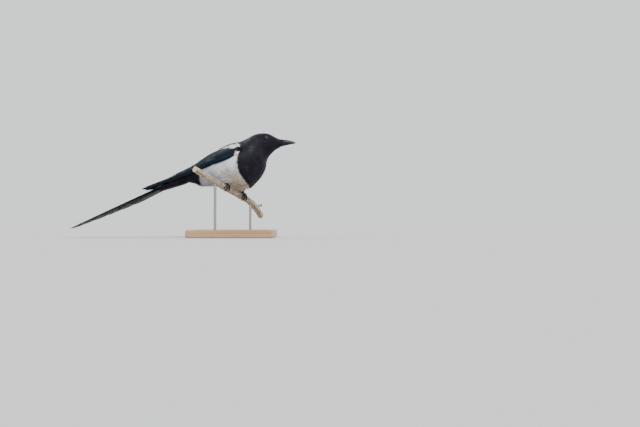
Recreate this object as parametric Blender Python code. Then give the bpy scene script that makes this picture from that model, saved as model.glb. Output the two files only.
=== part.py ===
"""Eurasian magpie, life size, perched on a short cut length of branch.

The bird looks along +X, its right side is at -Y and +Z is up.  The branch is held by a plain
stand: a flat base and two rods.  The origin is the centre of the base's underside.
Every size below is in millimetres and becomes metres as each mesh is made.
"""
import math

import bmesh
import bpy
import numpy as np
from mathutils import Vector

MM = 0.001
GAP = 0.3                      # clearance between pieces that touch

# ---- body: one row a station, from the tail root forward to the root of the bill
# back x, back z, belly x, belly z, half width
BODY_STATIONS = np.array([
    (-81.6, 121.0, -88.8, 101.5, 13.0),     # tail root
    (-60.0, 134.0, -66.0, 98.0, 22.5),      # rump
    (-38.4, 148.0, -42.0, 98.3, 32.0),
    (-16.8, 159.5, -18.0, 100.0, 38.0),
    (3.0, 167.5, 8.0, 97.6, 40.5),         # widest part, over the legs
    (12.9, 171.4, 30.0, 92.4, 40.0),        # edge of the bib
    (21.0, 175.0, 46.2, 104.8, 37.0),
    (28.2, 179.3, 57.0, 122.8, 31.5),       # front of the breast
    (33.6, 182.4, 60.2, 139.0, 25.0),
    (42.6, 186.1, 64.2, 146.6, 19.5),       # throat
    (54.3, 187.6, 70.1, 153.0, 17.3),       # crown
    (65.1, 185.8, 75.9, 158.2, 14.6),
    (75.0, 180.6, 81.6, 161.3, 10.2),
    (81.4, 177.4, 84.8, 163.4, 7.0),        # root of the bill
])
RUMP_END = 1
TORSO_END = 5
BREAST_END = 7
NECK_END = 9
HEAD_END = 13
BODY_SIDES = 28

# ---- bill
GAPE_Z = 169.7                 # height of the closed mouth line
GAPE_BACK_X = 72.5             # corner of the mouth
GAPE_HEIGHT = 0.7
BILL_TIP_X = 112.6
LOWER_TIP_X = 110.9
BILL_STEPS = 9
BILL_SIDES = 9
# x, top z, half width of the upper bill
UPPER_BILL = np.array([
    (82.2, 177.2, 6.7),
    (91.0, 176.2, 5.3),
    (99.5, 175.2, 4.0),
    (106.0, 173.7, 2.7),
    (110.4, 171.9, 1.4),
    (BILL_TIP_X, 170.4, 0.45),
])
# x, bottom z, half width of the lower bill
LOWER_BILL = np.array([
    (84.6, 163.6, 6.5),
    (91.0, 165.0, 5.1),
    (99.5, 166.9, 3.8),
    (106.0, 168.2, 2.4),
    (LOWER_TIP_X, 169.0, 0.6),
])
NOSTRIL = (87.5, 5.4, 173.4)   # centre of the right one, y taken as negative
NOSTRIL_RADIUS = 1.1

# ---- eye
EYE_X = 60.8
EYE_Z = 177.6
EYE_RADIUS = 4.8
EYE_PROUD = 1.5                # how far the eyeball stands out of the skin
LID_RING = 4.15
LID_THICK = 0.8

# ---- perch and stand
PERCH_CENTRE = Vector((0.0, 0.0, 81.9))
PERCH_TURN = math.radians(58)  # from the bird's heading to the branch
PERCH_DROP = math.radians(17.5)
PERCH_RADIUS = 5.6
PERCH_NEAR = 106.0              # length towards the bird's right
PERCH_FAR = 90.0                # and towards its left
PERCH_SIDES = 14
PERCH_STEPS = 30
PERCH_STRAIGHT = 33.0          # the branch is straight this far each way, then bends
PERCH_RISE = 0.0004            # bends up towards the near end
PERCH_SINK = 0.0046            # and down towards the far end
PERCH_TAPER = 0.007            # radius lost a millimetre towards the near end
PERCH_THICKEN = 0.011          # and gained towards the far end
KNOTS = (-66.0, 60.0)          # swellings along the branch
KNOT_RISE = 1.1
KNOT_SPREAD = 4.5
STUB_AT = 68.0                 # cut side twig
STUB_RADIUS = 2.3
STUB_LENGTH = 14.0
ROD_AT = 52.0                  # rods stand this far each way along the branch
ROD_RADIUS = 2.4
BASE_SIZE = (150.0, 120.0, 14.0)
BASE_BEVEL = 2.5
HOLE_DEPTH = 8.0               # rods reach this deep into the base

# ---- legs and feet
FOOT_AT = 25.3
TARSUS_RADIUS = 1.9
HUB_RADIUS = 3.0
TOE_CLEARANCE = 0.45           # between toes and bark
LEG_LEAN = Vector((-15.0, 0.0, 30.0))
SHANK_LENGTH = 16.0
# distance up the leg, outward drift, radius of the feathered thigh
THIGH = ((1.0, 0.0, 3.9), (4.5, 0.2, 7.8), (10.0, 0.4, 11.8), (28.0, 0.8, 14.5))
# name, start degrees, toe length, claw length, base radius, sideways start, sideways end
TOES = (
    ("inner", 8.0, 13.5, 5.5, 1.6, 1.8, 6.0),
    ("middle", 10.0, 17.5, 5.5, 1.7, 0.0, 0.4),
    ("outer", 8.0, 14.0, 5.5, 1.55, -1.8, -5.8),
    ("back", -8.0, -10.5, -6.5, 1.85, 0.4, 0.8),
)
TOE_SIDES = 6

# ---- wing: seven points each along the upper edge (x, y out, z) and the lower edge
WING_UPPER = np.array([
    (7.0, 13.0, 162.6),
    (-16.8, 9.0, 155.0),
    (-38.4, 6.0, 144.6),
    (-70.4, 4.2, 125.4),
    (-112.0, 4.0, 106.6),
    (-146.0, 4.8, 93.0),
    (-163.0, 6.0, 86.6),
])
WING_LOWER = np.array([
    (15.0, 32.0, 155.0),
    (2.0, 38.2, 144.5),
    (-26.0, 36.0, 133.4),
    (-55.0, 29.0, 121.8),
    (-93.0, 21.5, 108.0),
    (-128.0, 17.0, 96.0),
    (-160.0, 14.0, 82.6),
])
WING_CORE = 1.6                # flesh and feather roots of the folded wing
WING_CORE_END = 5              # the core ends at this step along the wing
ROOM_HEIGHT = 13.0             # the body is cut away this far out over a wing
WING_WEDGE = 2.6               # and is this much deeper at its upper edge
WING_WEDGE_SPAN = (0.12, 0.27)
WING_ALONG = [0.0, 0.08, 0.17, 0.27, 0.38, 0.5, 0.62, 0.74, 0.85, 0.94, 1.0]
WING_ACROSS = [k / 6 for k in range(7)]

# ---- vanes: how far along each station is, and its share of the full width
VANE_STATIONS = (0.0, 0.06, 0.30, 0.62, 0.85, 0.95, 1.0)
VANE_SHARES = (0.26, 0.42, 0.95, 1.0, 0.86, 0.6, 0.22)
VANE_THICK = 0.56
VANE_TIP_THICK = 0.38
VANE_SUNK = 0.8                # depth of a root in its core
VANE_CLIMB = 0.6               # and over which it climbs to its height
# count, root along, root across (first, last), tip along (first .. last), tip across (first, last),
# width, height over the wing near the root and at the tip, step of height from one vane to the
# next, degrees by which the lower edge stands off
PRIMARIES = (4, 0.40, (0.90, 0.62), (0.90, 0.96, 1.0, 0.93), (0.90, 0.28), 6.2, (0.5, 0.6), 0.5, 8)
SECONDARIES = (4, 0.16, (0.84, 0.47), (0.76, 0.73, 0.70, 0.66), (0.78, 0.30), 8.6, (0.9, 2.5), 0.45, 8)
TERTIALS = (3, 0.13, (0.36, 0.15), (0.60, 0.53, 0.45), (0.31, 0.15), 9.0, (1.9, 4.2), 0.5, 8)
GREATER_COVERTS = (5, 0.07, (0.88, 0.56), (0.28, 0.29, 0.30, 0.30, 0.29), (0.88, 0.56), 5.8, (0.7, 3.2),
                   0.35, 11)
MEDIAN_COVERTS = (4, 0.01, (0.86, 0.56), (0.14, 0.15, 0.155, 0.15), (0.86, 0.56), 6.6, (0.6, 3.6), 0.25, 11)
PRIMARY_COVERTS = (2, 0.22, (0.93, 0.85), (0.45, 0.42), (0.93, 0.85), 5.6, (1.0, 3.2), 0.45, 9)
WING_TIERS = (PRIMARIES, SECONDARIES, TERTIALS, GREATER_COVERTS, MEDIAN_COVERTS, PRIMARY_COVERTS)
SCAPULAR_CORE = (0.35, 1.9)    # lowest and highest over the wing
LONG_SCAPULARS = (3, 0.055, (0.33, 0.13), (0.21, 0.235, 0.24), (0.33, 0.13), 6.8, (2.4, 5.7), 0.5, 9)
SHORT_SCAPULARS = (2, 0.01, (0.30, 0.16), (0.13, 0.13), (0.30, 0.16), 8.4, (2.8, 5.0), 0.5, 9)

# ---- tail: a fan of twelve, longest in the middle
TAIL_ROOT = Vector((-80.0, 0.0, 112.0))
TAIL_SLOPE = math.radians(24.3)
TAIL_LENGTHS = (234.0, 218.0, 196.0, 171.0, 145.0, 119.0)
TAIL_ROOF = 0.006
TAIL_SAG = 0.00004
TAIL_VANE_START = 17.0
TAIL_TOP_LEVEL = 2.8           # the top feather over the middle of the core
TAIL_LAYER = 1.1               # from one feather down to the next
TAIL_SPREAD = (1.2, 1.1)       # first root from the middle line, and each next one
TAIL_TURN = (0.35, 0.85)       # degrees outward, first and each next one
TAIL_OUTER = (12.5, 9.5, 8.5, 8.0, 8.0, 8.0)
TAIL_INNER = 12.5
# coverts round the tail root: distance along, half width, height above, depth below
TAIL_COVERTS = (
    (20.0, 13.5, 8.0, 9.0),
    (34.0, 13.0, 5.5, 7.0),
    (48.0, 11.0, 3.2, 5.0),
    (60.0, 7.5, 1.4, 3.2),
)

COLOURS = {
    "plumage_black": ((0.018, 0.019, 0.026), 0.42, 0.0),
    "plumage_white": ((0.74, 0.73, 0.69), 0.80, 0.0),
    "wing_gloss": ((0.012, 0.028, 0.045), 0.30, 0.0),
    "tail_gloss": ((0.014, 0.034, 0.028), 0.28, 0.0),
    "bill_horn": ((0.020, 0.020, 0.022), 0.30, 0.0),
    "eye_dark": ((0.022, 0.012, 0.008), 0.05, 0.0),
    "leg_scale": ((0.022, 0.021, 0.021), 0.45, 0.0),
    "bark": ((0.42, 0.35, 0.27), 0.85, 0.0),
    "stand_wood": ((0.46, 0.31, 0.18), 0.45, 0.0),
    "rod_steel": ((0.55, 0.55, 0.56), 0.30, 1.0),
}


# ------------------------------------------------------------------ small tools
def spline(rows, place):
    """Smooth curve through rows of numbers; place counts rows from 0."""
    last = len(rows) - 1
    low = min(max(int(math.floor(place)), 0), last - 1)
    t = place - low
    a = rows[max(low - 1, 0)]
    b = rows[low]
    c = rows[low + 1]
    d = rows[min(low + 2, last)]
    return b + 0.5 * t * (c - a + t * (2 * a - 5 * b + 4 * c - d + t * (3 * (b - c) + d - a)))


def smooth(t):
    t = min(max(t, 0.0), 1.0)
    return t * t * (3 - 2 * t)


def material(name):
    found = bpy.data.materials.get(name)
    if found:
        return found
    colour, rough, metal = COLOURS[name]
    made = bpy.data.materials.new(name)
    made.use_nodes = True
    shader = made.node_tree.nodes["Principled BSDF"]
    shader.inputs["Base Color"].default_value = (*colour, 1.0)
    shader.inputs["Roughness"].default_value = rough
    shader.inputs["Metallic"].default_value = metal
    made.diffuse_color = (*colour, 1.0)
    return made


def solid(name, points, faces, finish="plumage_black"):
    """A mesh object from points in millimetres, its faces turned outward."""
    mesh = bpy.data.meshes.new(name)
    bm = bmesh.new()
    corners = [bm.verts.new(Vector(p) * MM) for p in points]
    for face in faces:
        bm.faces.new([corners[i] for i in face])
    bmesh.ops.recalc_face_normals(bm, faces=bm.faces)
    bm.to_mesh(mesh)
    bm.free()
    mesh.materials.append(material(finish))
    made = bpy.data.objects.new(name, mesh)
    bpy.context.collection.objects.link(made)
    return made


def loft(name, rings, finish="plumage_black"):
    """A closed solid through rings of equal count, with a fan at each end."""
    count = len(rings[0])
    points = [p for ring in rings for p in ring]
    faces = []
    for r in range(len(rings) - 1):
        for i in range(count):
            j = (i + 1) % count
            faces.append((r * count + i, r * count + j, (r + 1) * count + j, (r + 1) * count + i))
    for ring_start in (0, (len(rings) - 1) * count):
        centre = sum((Vector(p) for p in points[ring_start:ring_start + count]), Vector()) / count
        points.append(centre)
        hub = len(points) - 1
        for i in range(count):
            faces.append((ring_start + i, ring_start + (i + 1) % count, hub))
    return solid(name, points, faces, finish)


def slab(name, place, along, across, low, high, finish):
    """A plate of even grid between two heights over place(a, b, h)."""
    rows = len(along)
    cols = len(across)
    points = [place(a, b, low) for a in along for b in across]
    points += [place(a, b, high) for a in along for b in across]
    top = rows * cols
    faces = []
    for i in range(rows - 1):
        for j in range(cols - 1):
            k = i * cols + j
            for base in (0, top):
                faces.append((base + k, base + k + 1, base + k + cols + 1))
                faces.append((base + k, base + k + cols + 1, base + k + cols))
    rim = [j for j in range(cols)]
    rim += [i * cols + cols - 1 for i in range(1, rows)]
    rim += [(rows - 1) * cols + j for j in range(cols - 2, -1, -1)]
    rim += [i * cols for i in range(rows - 2, 0, -1)]
    for a, b in zip(rim, rim[1:] + rim[:1]):
        faces.append((a, b, top + b))
        faces.append((a, top + b, top + a))
    return solid(name, points, faces, finish)


def tube(name, centres, radii, sides, finish, guide=Vector((0, 0, 1))):
    """A round solid swept along centres."""
    rings = []
    for i, centre in enumerate(centres):
        ahead = centres[min(i + 1, len(centres) - 1)]
        behind = centres[max(i - 1, 0)]
        way = (ahead - behind).normalized()
        side = way.cross(guide).normalized()
        up = side.cross(way)
        turns = [2 * math.pi * k / sides for k in range(sides)]
        rings.append([centre + (side * math.cos(a) + up * math.sin(a)) * radii[i] for a in turns])
    return loft(name, rings, finish)


def ball(name, centre, radius, finish, rings=10, sides=16):
    bm = bmesh.new()
    bmesh.ops.create_uvsphere(bm, u_segments=sides, v_segments=rings, radius=radius * MM)
    mesh = bpy.data.meshes.new(name)
    for vert in bm.verts:
        vert.co += Vector(centre) * MM
    bm.to_mesh(mesh)
    bm.free()
    mesh.materials.append(material(finish))
    made = bpy.data.objects.new(name, mesh)
    bpy.context.collection.objects.link(made)
    return made


def bake(made):
    """Replace an object's mesh by what its modifiers give."""
    graph = bpy.context.evaluated_depsgraph_get()
    mesh = bpy.data.meshes.new_from_object(made.evaluated_get(graph))
    made.modifiers.clear()
    old = made.data
    made.data = mesh
    bpy.data.meshes.remove(old)
    mesh.name = made.name


def keep_largest(made):
    """Drop every closed surface of a mesh but the one of most volume."""
    bm = bmesh.new()
    bm.from_mesh(made.data)
    left = set(bm.faces)
    islands = []
    while left:
        stack = [left.pop()]
        island = list(stack)
        while stack:
            face = stack.pop()
            for edge in face.edges:
                for other in edge.link_faces:
                    if other in left:
                        left.remove(other)
                        stack.append(other)
                        island.append(other)
        volume = 0.0
        for face in island:
            first = face.verts[0].co
            for a, b in zip(face.verts[1:-1], face.verts[2:]):
                volume += first.dot(a.co.cross(b.co))
        islands.append((volume, island))
    islands.sort(key=lambda pair: -pair[0])
    spare = [face for _, island in islands[1:] for face in island]
    bmesh.ops.delete(bm, geom=spare, context="FACES")
    bm.to_mesh(made.data)
    bm.free()


def combine(made, others, operation):
    """One Boolean with a collection of closed objects, which are then removed."""
    group = bpy.data.collections.new("group")
    bpy.context.scene.collection.children.link(group)
    for other in others:
        group.objects.link(other)
    step = made.modifiers.new("join", "BOOLEAN")
    step.operation = operation
    step.operand_type = "COLLECTION"
    step.collection = group
    step.solver = "EXACT"
    bake(made)
    for other in others:
        bpy.data.objects.remove(other)
    bpy.data.collections.remove(group)
    keep_largest(made)
    return made


def round_off(made, angle=40):
    made.data.shade_smooth()
    made.data.set_sharp_from_angle(angle=math.radians(angle))
    return made


# ------------------------------------------------------------------ body
def body_frame(t, grow=0.0):
    """Centre, up direction, reach up, reach down and half width of one station."""
    back_x, back_z, belly_x, belly_z, half = spline(BODY_STATIONS, t)
    back = Vector((back_x, 0.0, back_z))
    belly = Vector((belly_x, 0.0, belly_z))
    up = (back - belly).normalized()
    centre = belly.lerp(back, 0.52)
    return centre, up, (back - centre).length + grow, (centre - belly).length + grow, half + grow


def body_point(t, angle, grow=0.0):
    """Skin point: angle 0 is the back, 90 degrees the right side, 180 the belly."""
    centre, up, above, below, half = body_frame(t, grow)
    reach = above if math.cos(angle) > 0 else below
    side = Vector((0.0, -1.0, 0.0))
    return centre + up * (reach * math.cos(angle)) + side * (half * math.sin(angle))


def body_ring(t, grow=0.0, shift=0.0):
    _, up, _, _, _ = body_frame(t)
    forward = Vector((0.0, -1.0, 0.0)).cross(up)
    if forward.x < 0:
        forward = -forward
    angles = [2 * math.pi * k / BODY_SIDES for k in range(BODY_SIDES)]
    return [body_point(t, a, grow) + forward * shift for a in angles]


def body_length(name, start, end, steps, finish, grow=0.0):
    """A length of body between two stations, its front face kept GAP short of the next."""
    places = [start + (end - start) * k / steps for k in range(steps + 1)]
    rings = [body_ring(t, grow) for t in places[:-1]]
    rings.append(body_ring(places[-1], grow, -GAP))
    return loft(name, rings, finish)


def face_x(z):
    """How far forward the flat front of the head stands at a height."""
    back_x, back_z, belly_x, belly_z, _ = BODY_STATIONS[-1]
    return back_x + (belly_x - back_x) * (back_z - z) / (back_z - belly_z)


def bill_half(name, rows, flat_z, finish):
    """Half a bill: flat on the mouth line, arched to its top or bottom edge."""
    rings = []
    for k in range(BILL_STEPS + 1):
        x, edge_z, half = spline(rows, k * (len(rows) - 1) / BILL_STEPS)
        ring = []
        for i in range(BILL_SIDES):
            a = math.pi * i / (BILL_SIDES - 1)
            z = flat_z + (edge_z - flat_z) * max(math.sin(a), 0.0) ** 0.8
            ring.append(Vector((face_x(z) + 1.2 * GAP if k == 0 else x, half * math.cos(a), z)))
        rings.append(ring)
    return loft(name, rings, finish)


def eye_seat(side):
    """Skin point of an eye and the outward direction there: side is -1 for the right, +1 the left."""
    grid = [(9 + k / 20, math.radians(a)) for k in range(80) for a in range(20, 100, 2)]

    def miss(spot):
        point = body_point(*spot)
        return (point.x - EYE_X) ** 2 + (point.z - EYE_Z) ** 2
    t, angle = min(grid, key=miss)
    skin = body_point(t, angle)
    out = (body_point(t + 0.1, angle) - skin).cross(body_point(t, angle + 0.05) - skin).normalized()
    if out.y > 0:
        out = -out
    return Vector((skin.x, -side * skin.y, skin.z)), Vector((out.x, -side * out.y, out.z))


def eye_centre(side):
    skin, out = eye_seat(side)
    return skin - out * (EYE_RADIUS - EYE_PROUD)


def lid_ring(side):
    """A soft ring round the eye opening, lying on the side of the head."""
    middle, out = eye_seat(side)
    ahead = Vector((1, 0, 0)).cross(out).normalized()
    upward = out.cross(ahead).normalized()
    points = []
    faces = []
    major = 16
    minor = 6
    for i in range(major):
        a = 2 * math.pi * i / major
        ray = ahead * math.cos(a) + upward * math.sin(a)
        for j in range(minor):
            b = 2 * math.pi * j / minor
            spot = ray * (LID_RING + LID_THICK * math.cos(b)) + out * (LID_THICK * math.sin(b))
            points.append(middle + spot)
    for i in range(major):
        for j in range(minor):
            k = (i + 1) % major
            m = (j + 1) % minor
            faces.append((i * minor + j, k * minor + j, k * minor + m, i * minor + m))
    return solid("lid", points, faces)


def box(name, low, high, finish="plumage_black"):
    points = [(x, y, z) for x in (low[0], high[0]) for y in (low[1], high[1]) for z in (low[2], high[2])]
    faces = [(0, 1, 3, 2), (4, 6, 7, 5), (0, 4, 5, 1), (2, 3, 7, 6), (0, 2, 6, 4), (1, 5, 7, 3)]
    return solid(name, points, faces, finish)


def make_head():
    head = body_length("head", NECK_END, HEAD_END, 10, "plumage_black")
    combine(head, [lid_ring(-1), lid_ring(1)], "UNION")
    sockets = [
        ball("socket", eye_centre(side), EYE_RADIUS + GAP, "eye_dark", 10, 16) for side in (-1, 1)
    ]
    mouth = box(
        "mouth",
        (GAPE_BACK_X, -30, GAPE_Z - GAPE_HEIGHT / 2),
        (BILL_TIP_X, 30, GAPE_Z + GAPE_HEIGHT / 2),
    )
    combine(head, sockets + [mouth], "DIFFERENCE")
    for side, word in ((-1, "right"), (1, "left")):
        round_off(ball(f"eye_{word}", eye_centre(side), EYE_RADIUS, "eye_dark", 10, 16))
    return round_off(head)


def make_bill():
    upper = bill_half("upper_bill", UPPER_BILL, GAPE_Z + GAP / 2, "bill_horn")
    pits = [
        ball("pit", (NOSTRIL[0], side * NOSTRIL[1], NOSTRIL[2]), NOSTRIL_RADIUS, "bill_horn", 6, 8)
        for side in (-1, 1)
    ]
    combine(upper, pits, "DIFFERENCE")
    round_off(upper, 50)
    round_off(bill_half("lower_bill", LOWER_BILL, GAPE_Z - GAP / 2, "bill_horn"), 50)


# ------------------------------------------------------------------ wings
def wing_place(along, across, height, side):
    """Point over the folded wing: along 0 to 1 to the tip, across 0 to 1 to the lower edge."""
    def spot(s, v):
        upper = spline(WING_UPPER, s * 6)
        lower = spline(WING_LOWER, s * 6)
        turn = v * math.pi / 2
        x = upper[0] + (lower[0] - upper[0]) * v
        y = upper[1] + (lower[1] - upper[1]) * math.sin(turn)
        z = lower[2] + (upper[2] - lower[2]) * math.cos(turn)
        return Vector((x, side * y, z))
    step = 0.01
    here = spot(along, across)
    lengthwise = spot(along + step, across) - spot(along - step, across)
    crosswise = spot(along, across + step) - spot(along, across - step)
    out = lengthwise.cross(crosswise).normalized()
    if out.y * side < 0 or (abs(out.y) < 0.2 and out.z < 0):
        out = -out
    return here + out * height


def vane(stations, finish):
    """A thin blade through stations of four corners, both faces split alike."""
    points = [p for corners in stations for p in corners]
    faces = []
    for i in range(len(stations) - 1):
        a = 4 * i
        b = a + 4
        faces += [(a, a + 1, b + 1), (a, b + 1, b)]
        faces += [(a + 3, b + 2, a + 2), (a + 3, b + 3, b + 2)]
        faces += [(a + 1, a + 2, b + 2), (a + 1, b + 2, b + 1)]
        faces += [(a, b, b + 3), (a, b + 3, a + 3)]
    end = 4 * (len(stations) - 1)
    faces += [(0, 3, 2), (0, 2, 1), (end, end + 1, end + 2), (end, end + 2, end + 3)]
    return solid("vane", points, faces, finish)


def wing_vane(side, root, tip, width, heights, tilt, finish):
    """One vane over the wing, its root in the core and its lower edge standing off."""
    stations = []
    for u, share in zip(VANE_STATIONS, VANE_SHARES):
        along = root[0] + (tip[0] - root[0]) * u
        across = root[1] + (tip[1] - root[1]) * u
        half = 0.5 * width * share
        thick = VANE_THICK if u < 1.0 else VANE_TIP_THICK
        stand_off = half * math.tan(tilt)
        clear = heights[0] + (heights[1] - heights[0]) * smooth(u / VANE_CLIMB)
        height = clear + stand_off + thick / 2
        if u == 0.0:
            height = heights[2]
            stand_off = 0.0
        centre = wing_place(along, across, height, side)
        out = (wing_place(along, across, height + 1, side) - centre).normalized()
        ahead = wing_place(along + 0.02 * (tip[0] - root[0]), across + 0.02 * (tip[1] - root[1]), height, side)
        edge = out.cross(ahead - centre).normalized()
        if edge.dot(wing_place(along, across + 0.02, height, side) - centre) < 0:
            edge = -edge
        reach = edge * half + out * stand_off
        depth = out * (thick / 2)
        stations.append([centre - reach - depth, centre + reach - depth,
                         centre + reach + depth, centre - reach + depth])
    return vane(stations, finish)


def core_top(along, across):
    """Height of the wing core's outer face, deeper towards the upper edge."""
    start, full = WING_WEDGE_SPAN
    return WING_WEDGE * (1.0 - min(across, 1.0)) ** 1.3 * smooth((along - start) / (full - start))


def tier(side, row, root_height, finish):
    """A row of vanes, the lowest on the wing first."""
    count, root_along, root_across, tips, tip_across, width, heights, step, tilt = row
    made = []
    for k in range(count):
        f = k / (count - 1)
        root = (root_along, root_across[0] + (root_across[1] - root_across[0]) * f)
        tip = (tips[k], tip_across[0] + (tip_across[1] - tip_across[0]) * f)
        sunk = root_height if root_height > 0 else core_top(*root) + root_height
        raised = (heights[0] + step * k, heights[1] + step * k, sunk)
        made.append(wing_vane(side, root, tip, width, raised, math.radians(tilt), finish))
    return made


def make_wing(word, side):
    def place(s, v, outer):
        return wing_place(s, v, core_top(s, v) if outer else -WING_CORE, side)
    wing = slab(
        f"wing_{word}", place, WING_ALONG[:WING_CORE_END + 1], WING_ACROSS, False, True, "wing_gloss",
    )
    vanes = [made for row in WING_TIERS for made in tier(side, row, -VANE_SUNK, "wing_gloss")]
    combine(wing, vanes, "UNION")
    return round_off(wing)


def make_scapulars(word, side):
    low, high = SCAPULAR_CORE
    patch = slab(
        f"scapulars_{word}", lambda s, v, h: wing_place(s, v, h, side),
        [0.0, 0.055, 0.11], [0.04, 0.14, 0.24, 0.34], low, high, "plumage_white",
    )
    middle = (low + high) / 2
    vanes = tier(side, LONG_SCAPULARS, middle, "plumage_white")
    vanes += tier(side, SHORT_SCAPULARS, middle, "plumage_white")
    combine(patch, vanes, "UNION")
    return round_off(patch)


def wing_clearance(side, low, high):
    """The room that a wing takes on the body, GAP larger than the wing all round."""
    along = [-0.004] + WING_ALONG[1:]
    across = [-0.014] + WING_ACROSS[1:-1] + [1.05]
    return slab("room", lambda s, v, h: wing_place(s, v, h, side), along, across, low, high, "bark")


# ------------------------------------------------------------------ tail
TAIL_WAY = Vector((-math.cos(TAIL_SLOPE), 0.0, -math.sin(TAIL_SLOPE)))
TAIL_UP = Vector((-math.sin(TAIL_SLOPE), 0.0, math.cos(TAIL_SLOPE)))


def tail_place(along, across, height):
    """Point over the tail: along and across in millimetres, roofed towards the sides."""
    return (
        TAIL_ROOT + TAIL_WAY * along + Vector((0, across, 0))
        + TAIL_UP * (height - TAIL_ROOF * across * across - TAIL_SAG * along * along)
    )


def tail_core():
    """The coverts over and under the tail root, from the rump to their thin hind edge."""
    rings = [body_ring(0, 0.0, -GAP)]
    angles = [2 * math.pi * k / BODY_SIDES for k in range(BODY_SIDES)]
    for along, half, above, below in TAIL_COVERTS:
        ring = []
        for a in angles:
            reach = above if math.cos(a) > 0 else below
            ring.append(tail_place(along, -half * math.sin(a), reach * math.cos(a)))
        rings.append(ring)
    return loft("tail", rings, "tail_gloss")


def tail_feather(rank, side, level):
    """One tail feather; all but the middle pair keep to their own side of the middle line."""
    stations = []
    for u, share in zip(VANE_STATIONS, VANE_SHARES):
        along = TAIL_VANE_START + (TAIL_LENGTHS[rank] - TAIL_VANE_START) * u
        turn = math.radians(TAIL_TURN[0] + TAIL_TURN[1] * rank)
        middle = TAIL_SPREAD[0] + TAIL_SPREAD[1] * rank + along * math.tan(turn)
        outer = middle + TAIL_OUTER[rank] * share
        inner = middle - TAIL_INNER * share
        if rank:
            inner = max(inner, 0.7 * GAP)
        thick = VANE_THICK if u < 1.0 else VANE_TIP_THICK
        low = level - thick / 2
        high = level + thick / 2
        corners = ((inner, low), (outer, low), (outer, high), (inner, high))
        stations.append([tail_place(along, side * across, height) for across, height in corners])
    return vane(stations, "tail_gloss")


def make_tail():
    core = tail_core()
    feathers = []
    for rank in range(len(TAIL_LENGTHS)):
        for side in (1, -1):
            layer = rank + 1 if rank else (0 if side > 0 else 1)
            feathers.append(tail_feather(rank, side, TAIL_TOP_LEVEL - TAIL_LAYER * layer))
    combine(core, feathers, "UNION")
    return round_off(core)


# ------------------------------------------------------------------ perch, feet and stand
PERCH_WAY = Vector((
    math.cos(PERCH_DROP) * math.cos(PERCH_TURN),
    math.cos(PERCH_DROP) * math.sin(PERCH_TURN),
    -math.sin(PERCH_DROP),
))
PERCH_UP = Vector((
    math.sin(PERCH_DROP) * math.cos(PERCH_TURN),
    math.sin(PERCH_DROP) * math.sin(PERCH_TURN),
    math.cos(PERCH_DROP),
))
PERCH_FRONT = Vector((math.sin(PERCH_TURN), -math.cos(PERCH_TURN), 0.0))


def perch_axis(along):
    """Centre of the branch: straight under the feet, bent a little beyond them."""
    past = max(abs(along) - PERCH_STRAIGHT, 0.0)
    bend = (PERCH_RISE if along < 0 else -PERCH_SINK) * past * past
    return PERCH_CENTRE + PERCH_WAY * along + PERCH_UP * bend


def perch_radius(along):
    """Even under the feet, thicker towards the far end, with knots."""
    past = max(abs(along) - PERCH_STRAIGHT, 0.0)
    radius = PERCH_RADIUS + (-PERCH_TAPER if along < 0 else PERCH_THICKEN) * past
    for knot in KNOTS:
        radius += KNOT_RISE * math.exp(-((along - knot) / KNOT_SPREAD) ** 2)
    return radius


def make_perch():
    rings = []
    for k in range(PERCH_STEPS + 1):
        along = -PERCH_NEAR + (PERCH_NEAR + PERCH_FAR) * k / PERCH_STEPS
        centre = perch_axis(along)
        radius = perch_radius(along)
        turns = [2 * math.pi * i / PERCH_SIDES for i in range(PERCH_SIDES)]
        rings.append([centre + (PERCH_UP * math.cos(a) + PERCH_FRONT * math.sin(a)) * radius
                      for a in turns])
    perch = loft("perch", rings, "bark")
    root = perch_axis(STUB_AT)
    way = (PERCH_UP * 0.5 + PERCH_FRONT * 0.75 + PERCH_WAY * 0.55).normalized()
    steps = [root + way * (STUB_LENGTH * k / 3) for k in range(4)]
    stub = tube("stub", steps, [STUB_RADIUS * f for f in (1.5, 1.2, 1.0, 0.95)], 10, "bark")
    combine(perch, [stub], "UNION")
    holes = []
    for along in (-ROD_AT, ROD_AT):
        foot = perch_axis(along)
        holes.append(cylinder("hole", foot.x, foot.y, foot.z - 30, foot.z + GAP, ROD_RADIUS + GAP, "bark"))
    combine(perch, holes, "DIFFERENCE")
    return round_off(perch, 60)


def cylinder(name, x, y, low, high, radius, finish, sides=20):
    turns = [2 * math.pi * i / sides for i in range(sides)]
    rings = [[Vector((x + radius * math.cos(a), y + radius * math.sin(a), z)) for a in turns]
             for z in (low, high)]
    return loft(name, rings, finish)


def make_stand():
    half_x, half_y, high = BASE_SIZE[0] / 2, BASE_SIZE[1] / 2, BASE_SIZE[2]
    base = box("stand_base", (-half_x, -half_y, 0.0), (half_x, half_y, high), "stand_wood")
    bevel = base.modifiers.new("edge", "BEVEL")
    bevel.width = BASE_BEVEL * MM
    bevel.segments = 3
    bake(base)
    floor = high - HOLE_DEPTH
    holes = []
    for along, word in ((-ROD_AT, "right"), (ROD_AT, "left")):
        foot = perch_axis(along)
        holes.append(cylinder("hole", foot.x, foot.y, floor - GAP, high + 20, ROD_RADIUS + GAP, "bark"))
        rod = cylinder(f"stand_rod_{word}", foot.x, foot.y, floor, foot.z, ROD_RADIUS, "rod_steel")
        round_off(rod)
    combine(base, holes, "DIFFERENCE")
    round_off(base)


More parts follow.
